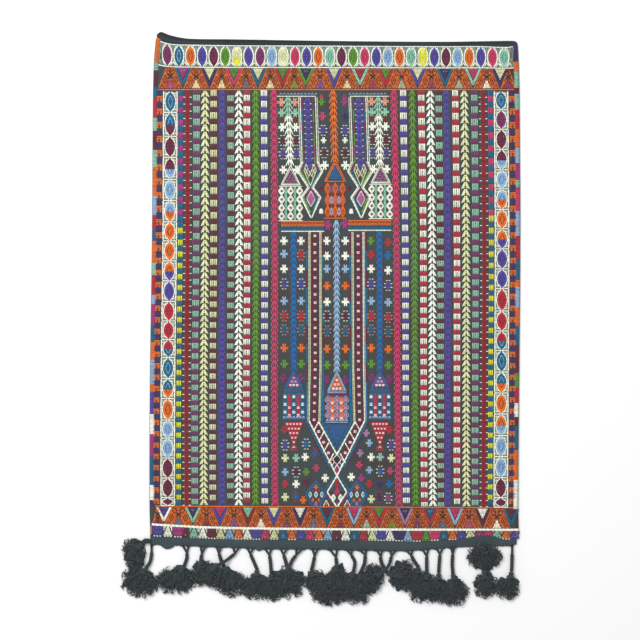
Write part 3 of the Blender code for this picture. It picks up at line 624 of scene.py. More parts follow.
def bandSpan(y):  # inner ends of a cross band, inside the selvages
    return sideAt("leftEdge", y) + selvage["width"], sideAt("rightEdge", y) - selvage["width"]


topNet = {"high": 543.5, "low": 504.5, "first": -305.7, "pitch": 23.21, "half": 7.6, "under": 2.5,
          "arcs": (("white", 1.9, 7.9, 3.0, 0.15), ("silver", 5.8, 4.4, 2.2, 0.05)),
          "yarns": "plum teal orange indigo maroon green ivory/yellow indigo plum paleBlue ivory pink "
                   "indigo orange mint maroon green pink indigo paleBlue orange mint yellow indigo maroon "
                   "paleBlue orange indigo pink mint"}


def weaveTopNet():
    high, low, half = topNet["high"], topNet["low"], topNet["half"]
    left, right = bandSpan((high + low) / 2)
    x, tall = left, (high - low) / 4
    while x < right:  # pale threads lie under the whole net
        for part in range(4):
            yarn = dice.choice(("stone", "grey", "moss")) if part in (1, 2) else "grey"
            stitch(yarn, x, high - tall * part + 0.6, x, high - tall * (part + 1) - 0.6, 2.8, -0.6)
        x += topNet["under"]
    for n, yarns in enumerate(topNet["yarns"].split()):
        x = topNet["first"] + n * topNet["pitch"]
        weaveLozenge(x, low + 1, high - 1, half, yarns, 0.45)
        for side in (-1, 1):
            for yarn, out, bulge, width, lift in topNet["arcs"]:
                run(yarn, [(x + side * (out + u), v) for u, v in halfOval(low, high, bulge)], width, 9, lift)
        # painted shadow: a moss arc down the left side of each lozenge stands for shade falling there
        run("moss", [(x - 2.6 - u, v) for u, v in halfOval(low + 4, high - 4, 6.0, 5)], 1.7, 9, 0.2)
        gap = x + topNet["pitch"] / 2
        motif(gap, high, [("charcoal", 4.2, -1.2, 3.36, -4.4, 1.5, 0.1)])
        motif(gap, low, [("white", 3.78, 1, 0, 8.5, 1.9, 0.1)])
        stitch("charcoal", gap, low + 1.2, gap, low + 4.6, 2.4, 0.1)
        stitch("grey", gap, high - 2, gap, high - 9, 2.0, 0.1)


def weaveValley(x, high, low, half, inner, outline):  # a triangle hanging from the upper line
    deep = high - low
    for side in (-1, 1):
        for inset in (0.10, 0.25):
            ends = [(x + side * half * (1 - inset), high), (x + side * 0.5, low + deep * inset)]
            run(outline, ends, 3.2, 9, 0.35)
        run("charcoal", [(x + side * half * 0.66, high), (x, low + deep * 0.36)], 1.3, 9, 0.1)
    taper(inner, x, high, low + deep * 0.40, half * 0.62, 0, 2.4, 9, 0.15, True)
    for u, v in ((-3, 6), (0, 9), (3, 6)):
        stitch(shades.get(inner, "stone"), x + u, high - 3.2, x + u, high - v, 1.2, 0.45)


def weaveHill(leftTip, rightTip, high, low, halfTop, base):  # what stands between two of them
    middle, deep, wide = (leftTip + rightTip) / 2, high - low, (rightTip - leftTip) / 2
    cross = low + deep * 0.59
    topHalf = max(3.0, wide - halfTop)
    taper("orange", middle, high, low, topHalf, wide - 1, 2.6, 9, -0.2)
    for side in (-1, 1):
        foot, top = middle + side * (wide - 1.4), middle + side * topHalf
        for share in (-0.02, 0.40, 0.84):  # a chain of dotted diamonds down each leg
            x, y = foot - side * 7.6 + (top - foot) * share, low + deep * share
            ways = [v for v in (-1, 1) if low < y + v * 4 < high]
            motif(x, y, [("umber", 5.2, -v * 0.6, 0.3, v * 8.3, 2.2, 0.4) for v in ways])
            if share == 0.40:
                stitch("umber", x, y - 2.8, x, y + 2.8, 3.0, 0.4)
        for v in (0.47, 0.71):  # the dark cross over the foot
            stitch("charcoal", middle + side * 5.4, low + deep * v, middle, cross, 4.4, 0.5)
        outer, inner = middle + side * topHalf * 0.7, middle + side * 0.4
        stitch("umber", outer, high - 2, inner, low + deep * 0.76, 2.0, 0.4)
        outer, inner = middle + side * 9.4, middle + side * 1.6
        run("umber", [(outer, low + 0.5), (inner, low + deep * 0.46)], 1.8, 12, 0.35)
    stitch("charcoal", middle, low + deep * 0.50, middle, low + deep * 0.66, 4.4, 0.35)
    taper(base, middle, low + deep * 0.47, low + 0.2, 0, 8.0, 2.5, 9, 0.45, True)
    stitch(shades.get(base, "stone"), middle, low + 1.0, middle, low + 5.4, 1.6, 0.6)


topZigzag = (  # valley: x, inner and outline yarn, then the yarn at the foot of the hill to its right
    "-325 mint mint magenta, -274.5 magenta teal ivory, -221.5 ivory purple ivory, "
    "-172.5 green pink teal, -124.5 ivory teal ivory, -75.3 green red green, -28.5 purple green indigo, "
    "27.5 ivory indigo ivory, 79.5 red mint plum, 130.7 green red mint, 194.5 ivory indigo plum, "
    "249.5 purple teal mint, 305.5 pink mint white, 359.5 ivory purple plum, 392 orange orange -")
lowZigzag = (
    "-336 orange orange maroon, -312.5 indigo white teal, -254.5 purple mint maroon, "
    "-200.5 pink indigo indigo, -144.5 mint rust white, -92.5 ivory indigo purple, "
    "-40.5 white purple teal, 13.5 maroon teal maroon, 67.5 pink paleBlue mint, 117.5 green red green, "
    "169.5 purple lilac purple, 219.5 teal red teal, 269.5 pink paleBlue magenta, "
    "324.5 white maroon white, 381.5 maroon teal -")


def weaveZigzag(text, high, low, half, tilt=0.0):
    rows = table(text)
    for (x, inner, outline, base), after in zip(rows, rows[1:] + [None]):
        top = high + tilt * (x - field["left"]) / field["width"]
        if after:
            weaveHill(x, after[0], top, low, half, base)
        if -320 < x < 386:
            weaveValley(x, top, low + 3.2, half, inner, outline)


level("white", 545.2, *bandSpan(545), 2.8)
weaveTopNet()
level("white", 502.3, *bandSpan(502), 2.9)
weaveZigzag(topZigzag, 500, 461, 16.5)
left, right = bandSpan(458)
level("orange", 458.4, left, right, 3.0)
level("orange", -374.0, left - 5, right, 2.8, 0.3, -3.4)
weaveZigzag(lowZigzag, -376.3, -415.5, 16.0, -3.2)
for y in (-419.7, -417.5):
    level("white", y, left - 12, right + 8, 3.3)

lowBlocks = {"high": -421.0, "low": -439.6, "first": -252.5, "pitch": 17.83,
             "start": "-325.5 indigo block, -304.5 white point, -284.5 magenta block, -269.5 maroon point",
             "yarns": "mint white maroon/block ivory paleBlue orange white indigo/block pink ivory teal "
                      "orange indigo pink orange paleBlue maroon white teal red ivory indigo/block white "
                      "purple/block paleBlue red/block green pink/block teal orange indigo ivory magenta "
                      "pink mint orange indigo"}


def weaveLowBand():
    high, low, pitch = lowBlocks["high"], lowBlocks["low"], lowBlocks["pitch"]
    rows = [(x, yarn, kind == "block") for x, yarn, kind in table(lowBlocks["start"])]
    for n, name in enumerate(lowBlocks["yarns"].split()):
        rows.append((lowBlocks["first"] + n * pitch, name.split("/")[0], "/" in name))
    solidPlaces = [x for x, yarn, solid in rows if solid]
    for x, yarn, solid in rows:
        if solid:
            taper(yarn, x, high, low, 12.4, 7.6, 2.5, 9, 0, True)
        else:
            taper(yarn, x, high, low, 1.6, 8.7, 2.3, 9, 0.1, True)
            pale = yarn in ("white", "ivory", "mint", "paleBlue")
            dark = "charcoal" if pale else shades.get(yarn, "charcoal")
            stitch(dark, x, low + 5.4, x, low + 9.0, 2.6, 0.45)
            stitch("silver", x, low + 2.0, x, low + 4.6, 1.8, 0.5)
            motif(x, low, [(dark, 3.0, 0.6, 3.0, 2.4, 1.3, 0.45)])
            for side in (-1, 1):  # small points hang beside it
                if (x + side * pitch) not in solidPlaces:
                    near, far = x + side * 3.9, x + side * 8.9
                    fill(yarn, [(near, high), (far, high), (far, high - 11.0)], 2.3, 9, 0, True)
        for u in (-5.8, 0.0, 5.8):
            foot = "white" if solid or yarn == "orange" else yarn
            stitch(foot, x + u - 2.1, low - 1.4, x + u + 2.1, low - 1.4, 2.6, 0.05)
    for x in (-338.0, 393.0):
        stitch("orange", x, high, x, low, 3.0)


weaveLowBand()
print("bands", sum(map(len, stitches.values())))


# ---- middle panel: small shapes ----

def axis(y):
    return float(along([(-0.376, 0.0335), (0.17, 0.0325), (0.31, 0.0295), (0.46, 0.025)], y / 1000)) * 1000


def offsetLine(dx):
    return lambda y: axis(y) + dx


def weaveStar(x, y, yarn, size=7.6, ticks=None):  # arms that widen up and down from a level bar
    body, rows = size * (0.82 if ticks else 1.0), []
    for v in (-1, 1):
        rows += [(yarn, body * 0.36, v * size * 1.22, body * 0.08, 0, body * 0.50, 0.1),
                 (yarn, body * 1.12, v * body * 0.22, 0, v * body * 0.10, body * 0.42, 0)]
    motif(x, y, rows)
    if ticks:
        motif(x, y, [(ticks, 8.8, v, 4.0, v, 2.0, 0.35) for v in (-3.7, 3.7)]
              + [(ticks, 5.0, v, 0.8, v, 1.8, 0.3) for v in (-9.8, 9.8)])


def weaveDot(x, y, yarn, size=2.2, lift=0.4):
    for v in (-0.42, 0.42):
        stitch(yarn, x - size * 1.1, y + v * size, x + size * 1.1, y + v * size, size * 1.05, lift)


def cornersAt(x, y, corners):
    return [(x + u, y + v) for u, v in corners]


def weaveDiamond(x, y, wide, tall, outline, inside=None, width=1.9):
    if inside:
        fill(inside, cornersAt(x, y, [(0, tall), (wide, 0), (0, -tall), (-wide, 0)]), 2.2, 9, 0)
    motif(x, y, [(outline, wide, 0, 0, v * tall, width, 0.2) for v in (-1, 1)])


def outlined(yarn, corners, width):
    run(yarn, [*corners, corners[0]], width, 8, 0.25)


def roof(yarn, x, apex, base, half, width=2.3):
    outlined(yarn, [(x - half, base), (x, apex), (x + half, base)], width)


def weaveStrip(line, high, low, yarns, width):  # a narrow stripe that changes colour down its length
    names = yarns.split()
    deep = (high - low) / len(names)
    for n, yarn in enumerate(names):
        heights = [high - deep * (n + t / 6) for t in range(7)]
        run(yarn, [(line(y), y) for y in heights], width, 10)


def pyramid(count, pitch):  # rows of fewer and fewer places, centred: row and shift
    return [(row, (n - (count - 1 - row) / 2) * pitch) for row in range(count) for n in range(count - row)]


# ---- middle panel: upper half ----

upperStars = {  # y, yarn, ticks and, near the axis, size
    "outer": "433 peach -, 412 mint -, 399 rust -, 383 white -, 357 maroon white, 330 indigo white, "
             "298 white -",
    "left": "444 pink - 4, 434 green - 6.8, 405 pink - 7.4, ",
    "right": "444 magenta - 4, 434 magenta - 6.8, 405 purple - 7.4, ",
    "inner": "377 indigo white 7.2, 357 white - 5.4, 332 maroon white 7.2, 307 white - 7.8"}


def weaveUpperHalf(side):
    def at(dx):
        return offsetLine(side * dx)
    for n in range(11):  # pale row of dotted triangles under the orange line
        motif(axis(450) + side * (34 + n * 7), 448, [("paleBlue", 2.6, 0, 0, 4, 1.8, 0)])
    level("white", 445.0, *sorted(axis(445) + side * dx for dx in (34, 112)), 2.3)
    weaveSkirts(at(90), "mint", "white", "white", 442, 400, 6.8, 11.4)
    weaveSkirts(at(90), "white", "grey", "silver", 406, 306, 6.8, 11.4)
    for y, yarn, ticks in table(upperStars["outer"]):
        for dx in (76.5, 103.5):
            weaveStar(at(dx)(y), y + (1.6 if side > 0 else 0), yarn, 4.6 if y == 399 else 7.4, ticks)
    weaveStrip(at(65.6), 443, 313, "white", 2.5)
    weaveStrip(at(69.0), 443, 313, "silver", 2.5)
    weaveStrip(at(61.8), 441, 300, "plum teal plum teal plum teal", 3.4)
    weaveSkirts(at(51), "indigo", "purple", "white", 441, 296, 5.8, 11.4)
    weaveStrip(at(40.2), 441, 300, "plum green plum green magenta green", 3.4)
    weaveStrip(at(31.8), 443, 313, "silver", 2.5)
    weaveStrip(at(35.2), 443, 313, "white", 2.5)
    for y, yarn, ticks, size in table(upperStars["left" if side < 0 else "right"] + upperStars["inner"]):
        weaveStar(axis(y) + side * (23 - (444 - y) / 55), y, yarn, size, ticks)
    weaveFigure(side)
    weaveLattice(side)
    for y, size in ((214, 4.4), (218, 3.0)):
        weaveDot(axis(y) + side * 30, y, "white", size, 0.1)
    high = 197 + side
    start, end = sorted(axis(0) + side * (dx + (1 - side)) for dx in (23, 109))
    block("orange", start, end, high, high - 11, 2.5, 5)
    for n in range(14):
        x = start + 3 + n * 6.15
        for u, width in ((-2.4, 2.2), (2.4, 2.0)):
            stitch("rust", x + u, high - 2.0, x, high - 6.6, width, 0.45)
        stitch("maroon", x + 3.1, high - 10.4, x + 3.1, high - 7.6, 1.9, 0.4)
        stitch("charcoal", x, high - 15.4, x, high - 12.6, 1.7, 0.4)
    block("teal", start, end, high - 11, high - 19, 2.7, 6)
    level("white", high - 20.8, start, end, 2.8)
    weaveStar(axis(190) + side * 17, 189 + side, "magenta", 8.4)


def weaveFigure(side):  # two joined outlines, a vase over a lozenge
    def at(dx, y):
        return (axis(y) + side * 50 + dx, y)
    profile = [(16.5, 314), (25.0, 295), (5.0, 263), (20.0, 243), (0.6, 202)]
    for mirror in (-1, 1):
        for shift, yarn, width in ((0, "white", 3.2), (-3.0, "silver", 2.8)):
            run(yarn, [at(mirror * max(0.4, dx + shift), y) for dx, y in profile], width, 8, 0.25)
        inner = ((9.7, 314), (18.2, 295), (1.6, 263), (2.0, 259), (13.6, 243), (1.2, 212))
        inner = [at(mirror * dx, y) for dx, y in inner]
        lowYarn = "teal" if mirror * side < 0 else "green"
        for n, yarn, width in ((0, "plum", 4.6), (1, lowYarn, 4.4), (3, "plum", 4.2), (4, lowYarn, 4.2)):
            run(yarn, inner[n:n + 2], width, 8, 0.1)
    lattice = [at(dx, y) for dx, y in ((-12.5, 297), (-7.6, 309), (0, 290), (7.6, 309), (12.5, 297))]
    run("ivory", lattice, 2.2, 8, 0.2)  # the pale lattice in the vase
    run("ivory", [lattice[0], at(0, 266), lattice[-1]], 2.2, 8, 0.2)
    run("ivory", [at(-6.2, 281), lattice[2], at(6.2, 281)], 2.0, 8, 0.15)
    for u in (-1, 1):
        run("ivory", [at(u * 10.0, 302), at(u * 3.4, 286)], 1.9, 8, 0.15)
        run("ivory", [at(u * 4.6, 301), at(u * 9.4, 290)], 1.9, 8, 0.1)
    x, y = at(0, 240)
    weaveDiamond(x, y, 8.4, 16.0, "shell", "lilac", 2.2)
    weaveDiamond(x, y + 1, 3.2, 6.0, "pink", "pink", 2.2)


def weaveLattice(side):
    middle, apex, base = axis(260) + side * 90, 309 + side * 2, 270 + side * 2
    for inset, yarn in ((0, "white"), (3.2, "silver")):
        roof(yarn, middle, apex - inset * 2, base + inset * 0.6, 19 - inset)
    taper("plum", middle, apex - 9, base + 3.5, 0, 13, 2.4, 4, -0.1)
    for row in range(7):  # flecked
        for n in range(7 - row):
            x, y = middle + (n - (6 - row) / 2) * 3.6 + dice.uniform(-0.6, 0.6), base + 5 + row * 3.4
            stitch(("lilac", "stone", "lilac", "shell")[(n + row * 2) % 4], x - 1.3, y, x + 1.3, y, 1.6, 0.3)
    high, low = base - 4, 199 + side * 2
    tall = (high - low) / 4
    for x in (middle - 18, middle, middle + 18):
        for row in range(4):
            y = high - tall * (row + 0.5)
            weaveDiamond(x, y, 6.4, tall / 2, "white", "white", 2.4)
            weaveDot(x, y, "plum" if row else "magenta", 2.2, 0.5)
            stitch("stone", x, y - tall / 2 + 1, x, y - tall / 2 - 1, 1.6, 0.5)
    for x in (middle - 9, middle + 9):
        for row in range(8):
            y, bend = high - tall * (row + 0.5) / 2, 1.3 * (-1) ** row
            for u, lift in ((-1.3, 0), (1.3, 0.1)):
                stitch("mint", x + u + bend, y - 5.2, x + u - bend, y + 5.2, 2.6, lift)
    level("white", low - 0.6, middle - 24, middle + 24, 2.2)
    level("white", high + 1.2, middle - 23, middle + 23, 2.0)


def weaveCentreHead():
    x, high, low = axis(295), 272, 203
    tall = (high - low) / 3
    heights = [high - tall * (row + 0.5) for row in range(3)]
    for inset in (0, 3.0):
        roof("orange", x, 318 - inset * 2.2, 275, 21 - inset, 2.5)
    taper("azure", x, 307, 280, 0, 13, 2.5, 5, -0.1)
    block("rust", x - 21, x + 21, high, low, 2.6, 6, -0.35)
    for u in (-15, 0, 15):
        for row, y in enumerate(heights):
            weaveDiamond(x + u, y, 5.8, tall / 2, "orange", "orange", 2.4)
            weaveDiamond(x + u, y, 2.2, tall / 5, "lilac" if row == 1 else "rust", None, 1.6)
    for u in (-7.5, 7.5):
        for row, y in enumerate(heights):
            weaveDiamond(x + u, y, 3.6, 8.4, *(("paleBlue", "paleBlue") if row else ("azure", "teal")), 2.0)
            stitch("indigo", x + u, y - 2.4, x + u, y + 2.4, 1.8, 0.45)
    level("orange", 201.5, x - 22, x + 22, 2.6)
    for u in (-28, 28):
        weaveStar(x + u, 262, "maroon", 5.0)


for side in (-1, 1):
    weaveUpperHalf(side)
weaveSkirts(offsetLine(0), "orange", "umber", "peach", 456, 314, 6.6, 12.6)
weaveCentreHead()


# ---- middle panel: lower half ----

lowStars = ("100 white -, 70 indigo white, 36 paleBlue -, 6 red peach, -22 teal peach, -58 orange -, "
            "-90 green -, -118 plum -")
starColumns = [  # distance from the axis, then the stars' y, yarn and ticks: upper left, upper right, lower
    (104, "156 white -, 130 paleBlue -, ", "156 red -, 130 azure -, ", lowStars),
    (70, "156 white -, 128 red peach, ", "156 green -, 128 red -, ", lowStars),
    (18.5, "156 white -, 126 white -, ", "156 white -, 126 white -, ",
     "100 paleBlue -, 66 orange -, 34 white -, 6 maroon white, -24 teal peach, -60 orange -, -92 green -, "
     "-122 plum -")]


def weaveHouse(x, apex, base, half, edge, inside, pillar, high, low, tealWall):
    wide, deep, tall = half + 4.0, apex - base, (high - low - 6) / 3
    for inset in (0, 2.2):
        roof(edge, x, apex - inset * 2.2, base, half - inset)
    taper(inside, x, apex - 7, base + 2, 0, half - 3.4, 2.3, 5, -0.1)
    for row, u in pyramid(3, 6.8):
        yarn = "paleBlue" if tealWall and row else "shell"
        weaveDot(x + u, base + 4.8 + row * deep * 0.21, yarn, 2.7, 0.45)
    level(edge, base - 3.0, x - half, x + half, 2.4)
    for n in range(-3, 4):
        u = x + n * 5.6
        stitch("red" if tealWall else "rust", u - 1.5, base - 6.4, u + 1.5, base - 5.6, 1.7)
    block("teal" if tealWall else "plum", x - wide + 2, x + wide - 2, base - 4, high, 2.3, 5, -0.1)
    if tealWall:
        block("teal", x - wide, x + wide, high, low, 2.5, 5, -0.1)
    for u in (-9.0, 9.0):
        block(pillar, x + u - 3.2, x + u + 3.2, high - 1, low + 6, 2.3, 8, 0.12)
    for row in range(3):
        y = high - tall * (row + 0.5)
        for u in (-17.5, 0, 17.5):
            if tealWall:
                weaveDot(x + u, y, "white", 3.2, 0.35)
                stitch("paleBlue", x + u - 3.4, y + 4.0, x + u + 3.4, y + 4.0, 1.6, 0.3)
            else:
                weaveDiamond(x + u, y, 6.8, tall * 0.52, "paleBlue", "magenta", 2.3)
                weaveDiamond(x + u, y, 2.6, tall * 0.2, "shell", None, 1.8)
        for u in (-9.0, 9.0):
            weaveDiamond(x + u, y - tall * 0.4, 4.4, tall * 0.46, pillar, pillar, 2.2)
            weaveDot(x + u, y - tall * 0.4, "shell" if row or pillar == "orange" else pillar, 3.0, 0.7)
    for n in range(-3, 4):
        motif(x + n * 6.4, low, [("paleBlue", 2.4, 1.2, 0, 6.0, 2.8, 0.4)])
    level(edge, low - 0.6, x - wide, x + wide, 2.3)


def weavePendant(x, high, low, half, yarn):
    taper(yarn, x, high, low, half, 1.6, 2.5, 6, 0)
    for row, u in pyramid(5, 6.6):
        weaveDot(x + u, high - 4 - row * (high - low) / 5 * 0.98, "shell", 2.3, 0.4)
    motif(x, low, [(yarn, 8, -9, 0.6, 1, 2.9, 0), ("white", 3, -6.6, 0, -2.4, 1.8, 0.3)])
    level(yarn, low - 10.2, x - 8, x + 8, 2.5)


def weaveLowerHalf(side):
    def at(dx):
        return offsetLine(side * dx)

    def spot(dx, y, dy=0.0):
        return (axis(y) + side * dx, y + dy)
    for dx, left, right, lower in starColumns:
        for y, yarn, ticks in table((left if side < 0 else right) + lower):
            spread, drop = 1.2 if y == -118 else 0, 3 if side > 0 and dx == 104 else 0
            weaveStar(at(dx - side)(y) + side * spread, y - drop, yarn, 7.4, ticks)
    weaveSkirts(at(86), "azure", "teal", "red", 174, -104, 5.4, 12.6)
    weaveStrip(at(59.6), 174, -200, "maroon teal maroon teal azure maroon teal maroon teal azure", 4.6)
    weaveStrip(at(27.2), 174, -200, "maroon teal maroon teal maroon teal azure teal", 4.6)
    outer = [spot(53, 174), spot(53.4, -100), spot(55.4, -204), spot(0, -314, 0.4)]
    inner = [spot(33, 174), spot(33.6, -100), spot(36, -204, -2), spot(0, -271)]
    run("ivory" if side < 0 else "white", outer[:3], 2.6, 9, 0.2)
    run("white", outer[2:], 4.2, 9, 0.3)
    run("silver", [(x + side * 2.8, y) for x, y in outer[:3]], 2.0, 9, 0.05)
    run("ivory", inner[:3], 2.6, 9, 0.2)
    run("white", inner[2:], 4.2, 9, 0.3)
    run("teal", [spot(28, -140), spot(29, -204, -2), spot(2.4, -262, 2)], 5.4, 9)
    run("teal", [spot(61.5, -204), spot(14, -300, 4)], 4.6, 9)
    run("silver", [(x - side * 2.6, y) for x, y in inner[:3]], 1.8, 9, 0.05)
    for dx in (38.4, 43.2, 48.0):
        run("maroon", [spot(dx, 174, -2), spot(dx, -100), spot(dx + 2.6, -204, -6)], 5.0, 9, -0.15)
    slant, knee = np.array([-side * 46.0, -100.0]), np.array(spot(46, -204))
    slant /= np.linalg.norm(slant)
    for shift in (-4, 0, 4):
        start = knee + np.array([-slant[1], slant[0]]) * shift
        run("maroon", [start, start + slant * 92], 4.6, 9, -0.15)
    for n in range(23):
        y = 166 - n * 16.7
        weaveDot(*spot(43.2 + 2.4 * max(0, -100 - y) / 104, y), "shell", 3.0, 0.5)
    for n in range(3):
        weaveDot(*(knee + slant * (23 + 23.5 * n)), "shell", 3.2, 0.5)
    for n in range(4):  # white bars across the slanting part
        x, y = knee + slant * (11.3 + n * 23.5)
        run("white", [(x - side * 5.3, y + 9.6), (x + side * 5.3, y - 9.6)], 3.5, 12, 0.45)
    for shift, yarn in ((5.0, "teal"), (8.6, "maroon")):
        run(yarn, [spot(55 + shift, -204, -2), spot(10 + shift, -300, 2)], 3.0, 9)
        run(yarn, [spot(31 - shift, -204, -2), spot(max(0.5, 10.0 - shift), -250)], 2.8, 9)
    run("white", [spot(0, -314, 0.4), spot(19.5, -346), spot(1, -376, 1)], 4.0, 9, 0.3)
    run("teal", [spot(5, -314, 0.4), spot(25.5, -346, 2)], 3.4, 9)
    run("plum", [spot(23, -346, -4), spot(8, -372)], 2.6, 9)
    middle = spot(86, -120)[0]
    weaveHouse(middle, -103, -137, 18, "azure", "magenta", "red", -148, -200, True)
    weavePendant(middle, -206, -252, 18.5, "red")


def weaveFoot():  # what stands on the axis between the two houses' pendants
    x = axis(-230)
    taper("azure", x, -211, -256, 22, 0, 2.5, 6)
    for row, u in pyramid(5, 6.6)[:-1]:
        stitch("plum", x + u - 2, -216 - row * 9, x + u + 2, -213.6 - row * 9, 1.6, 0.35)
    x = axis(-300)
    weaveDiamond(x, -302, 6.5, 11, "white", "magenta", 2.2)
    weaveDiamond(x, -281, 9, 10, "white", "charcoal", 2.0)
    for u in (-9, 9):
        weaveDiamond(x + u, -285, 4.0, 7.0, "white", "maroon", 2.0)
    fill("red", cornersAt(x, -330, [(0, 12), (5, 0), (0, -11), (-5, 0)]), 2.4, 6)
    for u in (-1, 1):
        fill("teal", [(x + u * 6, -330), (x + u * 13, -344), (x + u * 4, -342)], 2.4, 6)
        fill("maroon", [(x + u * 6, -346), (x + u * 15, -346), (x + u * 10, -353)], 2.4, 6)
        weaveDiamond(x + u * 7, -357, 4.4, 7.4, "white", "white", 2.0)
        stitch("charcoal", x + u * 7 - 0.9, -357, x + u * 7 + 0.9, -357, 1.8, 0.5)
    weaveStar(x, -345, "pink", 6.0)
    stitch("red", x - 3, -368, x + 3, -368, 3.0)


def weaveMedallion(x, y):
    outlined("azure", cornersAt(x, y, [(0, 26), (20, 0), (8, -24), (-8, -24), (-20, 0)]), 3.0)
    outlined("teal", cornersAt(x, y, [(0, 21), (16, 0), (6, -22), (-6, -22), (-16, 0)]), 2.2)
    weaveStar(x, y + 14, "orange", 5.0)
    for u in (-12, 0, 12):
        weaveDiamond(x + u, y - 1, 3.6, 6.4, "white", "paleBlue", 1.9)
    for u in (-6, 6):
        fill("orange", cornersAt(x + u, y - 12, [(0, 4.5), (3.4, 0), (0, -4.5), (-3.4, 0)]), 2.2, 6)
        stitch("pink", x + u - 1.5, y + 8, x + u + 1.5, y + 6, 2.4)
    weaveDiamond(x, y - 19, 3.4, 4.6, "lilac", "lilac", 1.9)


cornerStars = (  # x, y, yarn, ticks: the loose stars in the two lower corners
    "-72 -222 red -, -70 -252 indigo white, -28 -250 azure white, -70 -278 ivory -, -48 -278 mint -, "
    "-30 -276 white -, -10 -268 azure red, -70 -306 paleBlue -, -48 -306 maroon white, -28 -306 green -, "
    "-8 -298 pink -, -70 -330 red -, -48 -330 white -, -28 -326 maroon -, 10 -318 white -, "
    "-70 -356 ivory -, -48 -354 azure red, -34 -362 orange -, 92 -228 lilac -, 98 -248 paleBlue -, "
    "138 -222 red -, 142 -252 indigo white, 80 -268 lilac -, 102 -276 white -, 120 -276 mint -, "
    "142 -278 ivory -, 78 -292 pink -, 98 -302 paleBlue -, 120 -304 azure white, 140 -304 pink -, "
    "62 -316 white -, 82 -318 magenta -, 98 -330 red -, 118 -330 purple -, 138 -330 azure -, "
    "102 -360 ivory -, 118 -356 purple red, 136 -358 magenta white")

for side in (-1, 1):
    weaveLowerHalf(side)
weaveSkirts(offsetLine(0), "paleBlue", "azure", "peach", 196, -106, 5.3, 12.6)
weaveHouse(axis(-130), -104, -144, 18.5, "paleBlue", "orange", "orange", -154, -206, False)
weaveFoot()
for x, y, yarn, ticks in table(cornerStars):
    weaveStar(x, y, yarn, 7.2 if yarn in ("white", "ivory", "mint") else 6.6, ticks)
weaveMedallion(-8.5, -350)
weaveMedallion(73.5, -350)
for x in (12, 54):  # small peaks on the low orange line
    run("white", [(x - 6, -374), (x, -362), (x + 6, -374)], 2.0, 8, 0.2)
    stitch("orange", x, -373, x, -367, 3.2)
print("middle panel", sum(map(len, stitches.values())))




# ---- the stitches become meshes, one for each yarn ----

grainFaces = np.array([(1, 4, 5, 2), (2, 5, 6, 3), (3, 6, 4, 1)])
grainEnds = np.array([(0, 1, 2), (0, 2, 3), (0, 3, 1), (7, 5, 4), (7, 6, 5), (7, 4, 6)])


def buildStitches(yarn, rows):
    x0, y0, x1, y1, width, lift = np.array(rows, float).T / 1000
    y0, y1 = y0 + bandShift(x0, y0), y1 + bandShift(x1, y1)  # from the evened-out cloth to the real one
    length = np.maximum(np.hypot(x1 - x0, y1 - y0), 1e-6)
    dx, dy = (x1 - x0) / length, (y1 - y0) / length
    inset = np.minimum(width * thread["inset"], length * 0.25)
    count = len(rows)
    places, maps = np.zeros((count, 8, 3)), np.zeros((count, 8, 2))
    own = np.random.default_rng(count).integers(0, 4000, count) * mapStep
    sunk, tall, far = -thread["sunk"] / 1000, thread["high"] / 1000 + width * thread["round"], length - inset
    for corner, away, side, high, v in (
            (0, 0 * length, 0, sunk * 0.3, 0.5), (7, length, 0, sunk * 0.3, 0.5),
            (1, inset, -width / 2, sunk, 0.0), (2, inset, 0, tall, 0.5), (3, inset, width / 2, sunk, 1.0),
            (4, far, -width / 2, sunk, 0.0), (5, far, 0, tall, 0.5), (6, far, width / 2, sunk, 1.0)):
        x, y = x0 + dx * away - dy * side, y0 + dy * away + dx * side
        places[:, corner] = np.stack([x, y, surfaceZ(x, y) + lift + high], 1)
        maps[:, corner] = np.stack([own + away * 1000, np.full(count, v)], 1)
    starts = (np.arange(count) * 8)[:, None, None]
    faces = [face for grain in (grainFaces, grainEnds)
             for face in (grain[None] + starts).reshape(-1, len(grain[0])).tolist()]
    piece = meshPiece("brocade_" + yarn, places.reshape(-1, 3), faces,
                      woolMaterial(yarn + "Wool", yarnColours[yarn]), "thread", maps.reshape(-1, 2))
    return piece


brocade = [buildStitches(yarn, stitches[yarn]) for yarn in sorted(stitches)]
print("stitches", sum(map(len, stitches.values())), "in", len(brocade), "yarns")


# ---- strands: cords, tassels ----

def strandMesh(paths, radii, sides):  # paths are count x points x 3, in metres
    paths = np.asarray(paths, float)
    count, points = paths.shape[:2]
    radii = np.broadcast_to(radii, (count, points))
    ways = np.gradient(paths, axis=1)
    ways /= np.maximum(np.linalg.norm(ways, axis=2, keepdims=True), 1e-9)
    side = np.cross(ways, (0.0, 0.0, 1.0))
    side /= np.maximum(np.linalg.norm(side, axis=2, keepdims=True), 1e-6)
    over = np.cross(side, ways)
    turns = np.arange(sides) / sides * 2 * math.pi + math.pi / 2
    rings = (paths[:, :, None] + radii[:, :, None, None]
             * (np.cos(turns)[:, None] * side[:, :, None] + np.sin(turns)[:, None] * over[:, :, None]))
    steps = np.linalg.norm(np.diff(paths, axis=1), axis=2)
    length = np.concatenate([np.zeros((count, 1)), np.cumsum(steps, 1)], 1)
    index = np.arange(count * points * sides).reshape(count, points, sides)
    after = np.roll(index, -1, axis=2)
    quads = np.stack([index[:, :-1], index[:, 1:], after[:, 1:], after[:, :-1]], 3).reshape(-1, 4)
    caps = np.concatenate([index[:, 0], index[:, -1, ::-1]])
    return rings.reshape(-1, 3), quads.tolist() + caps.tolist(), length


def threadMaps(length, sides, own):  # mm along each strand and the share of the way round it
    u = np.repeat((length * 1000 + own[:, None])[:, :, None], sides, 2)
    # the share is one half on the strand's top, so the wool's painted side shade falls underneath
    v = np.broadcast_to((np.arange(sides) / sides + 0.5) % 1, u.shape)
    return np.stack([u, v], 3).reshape(-1, 2)


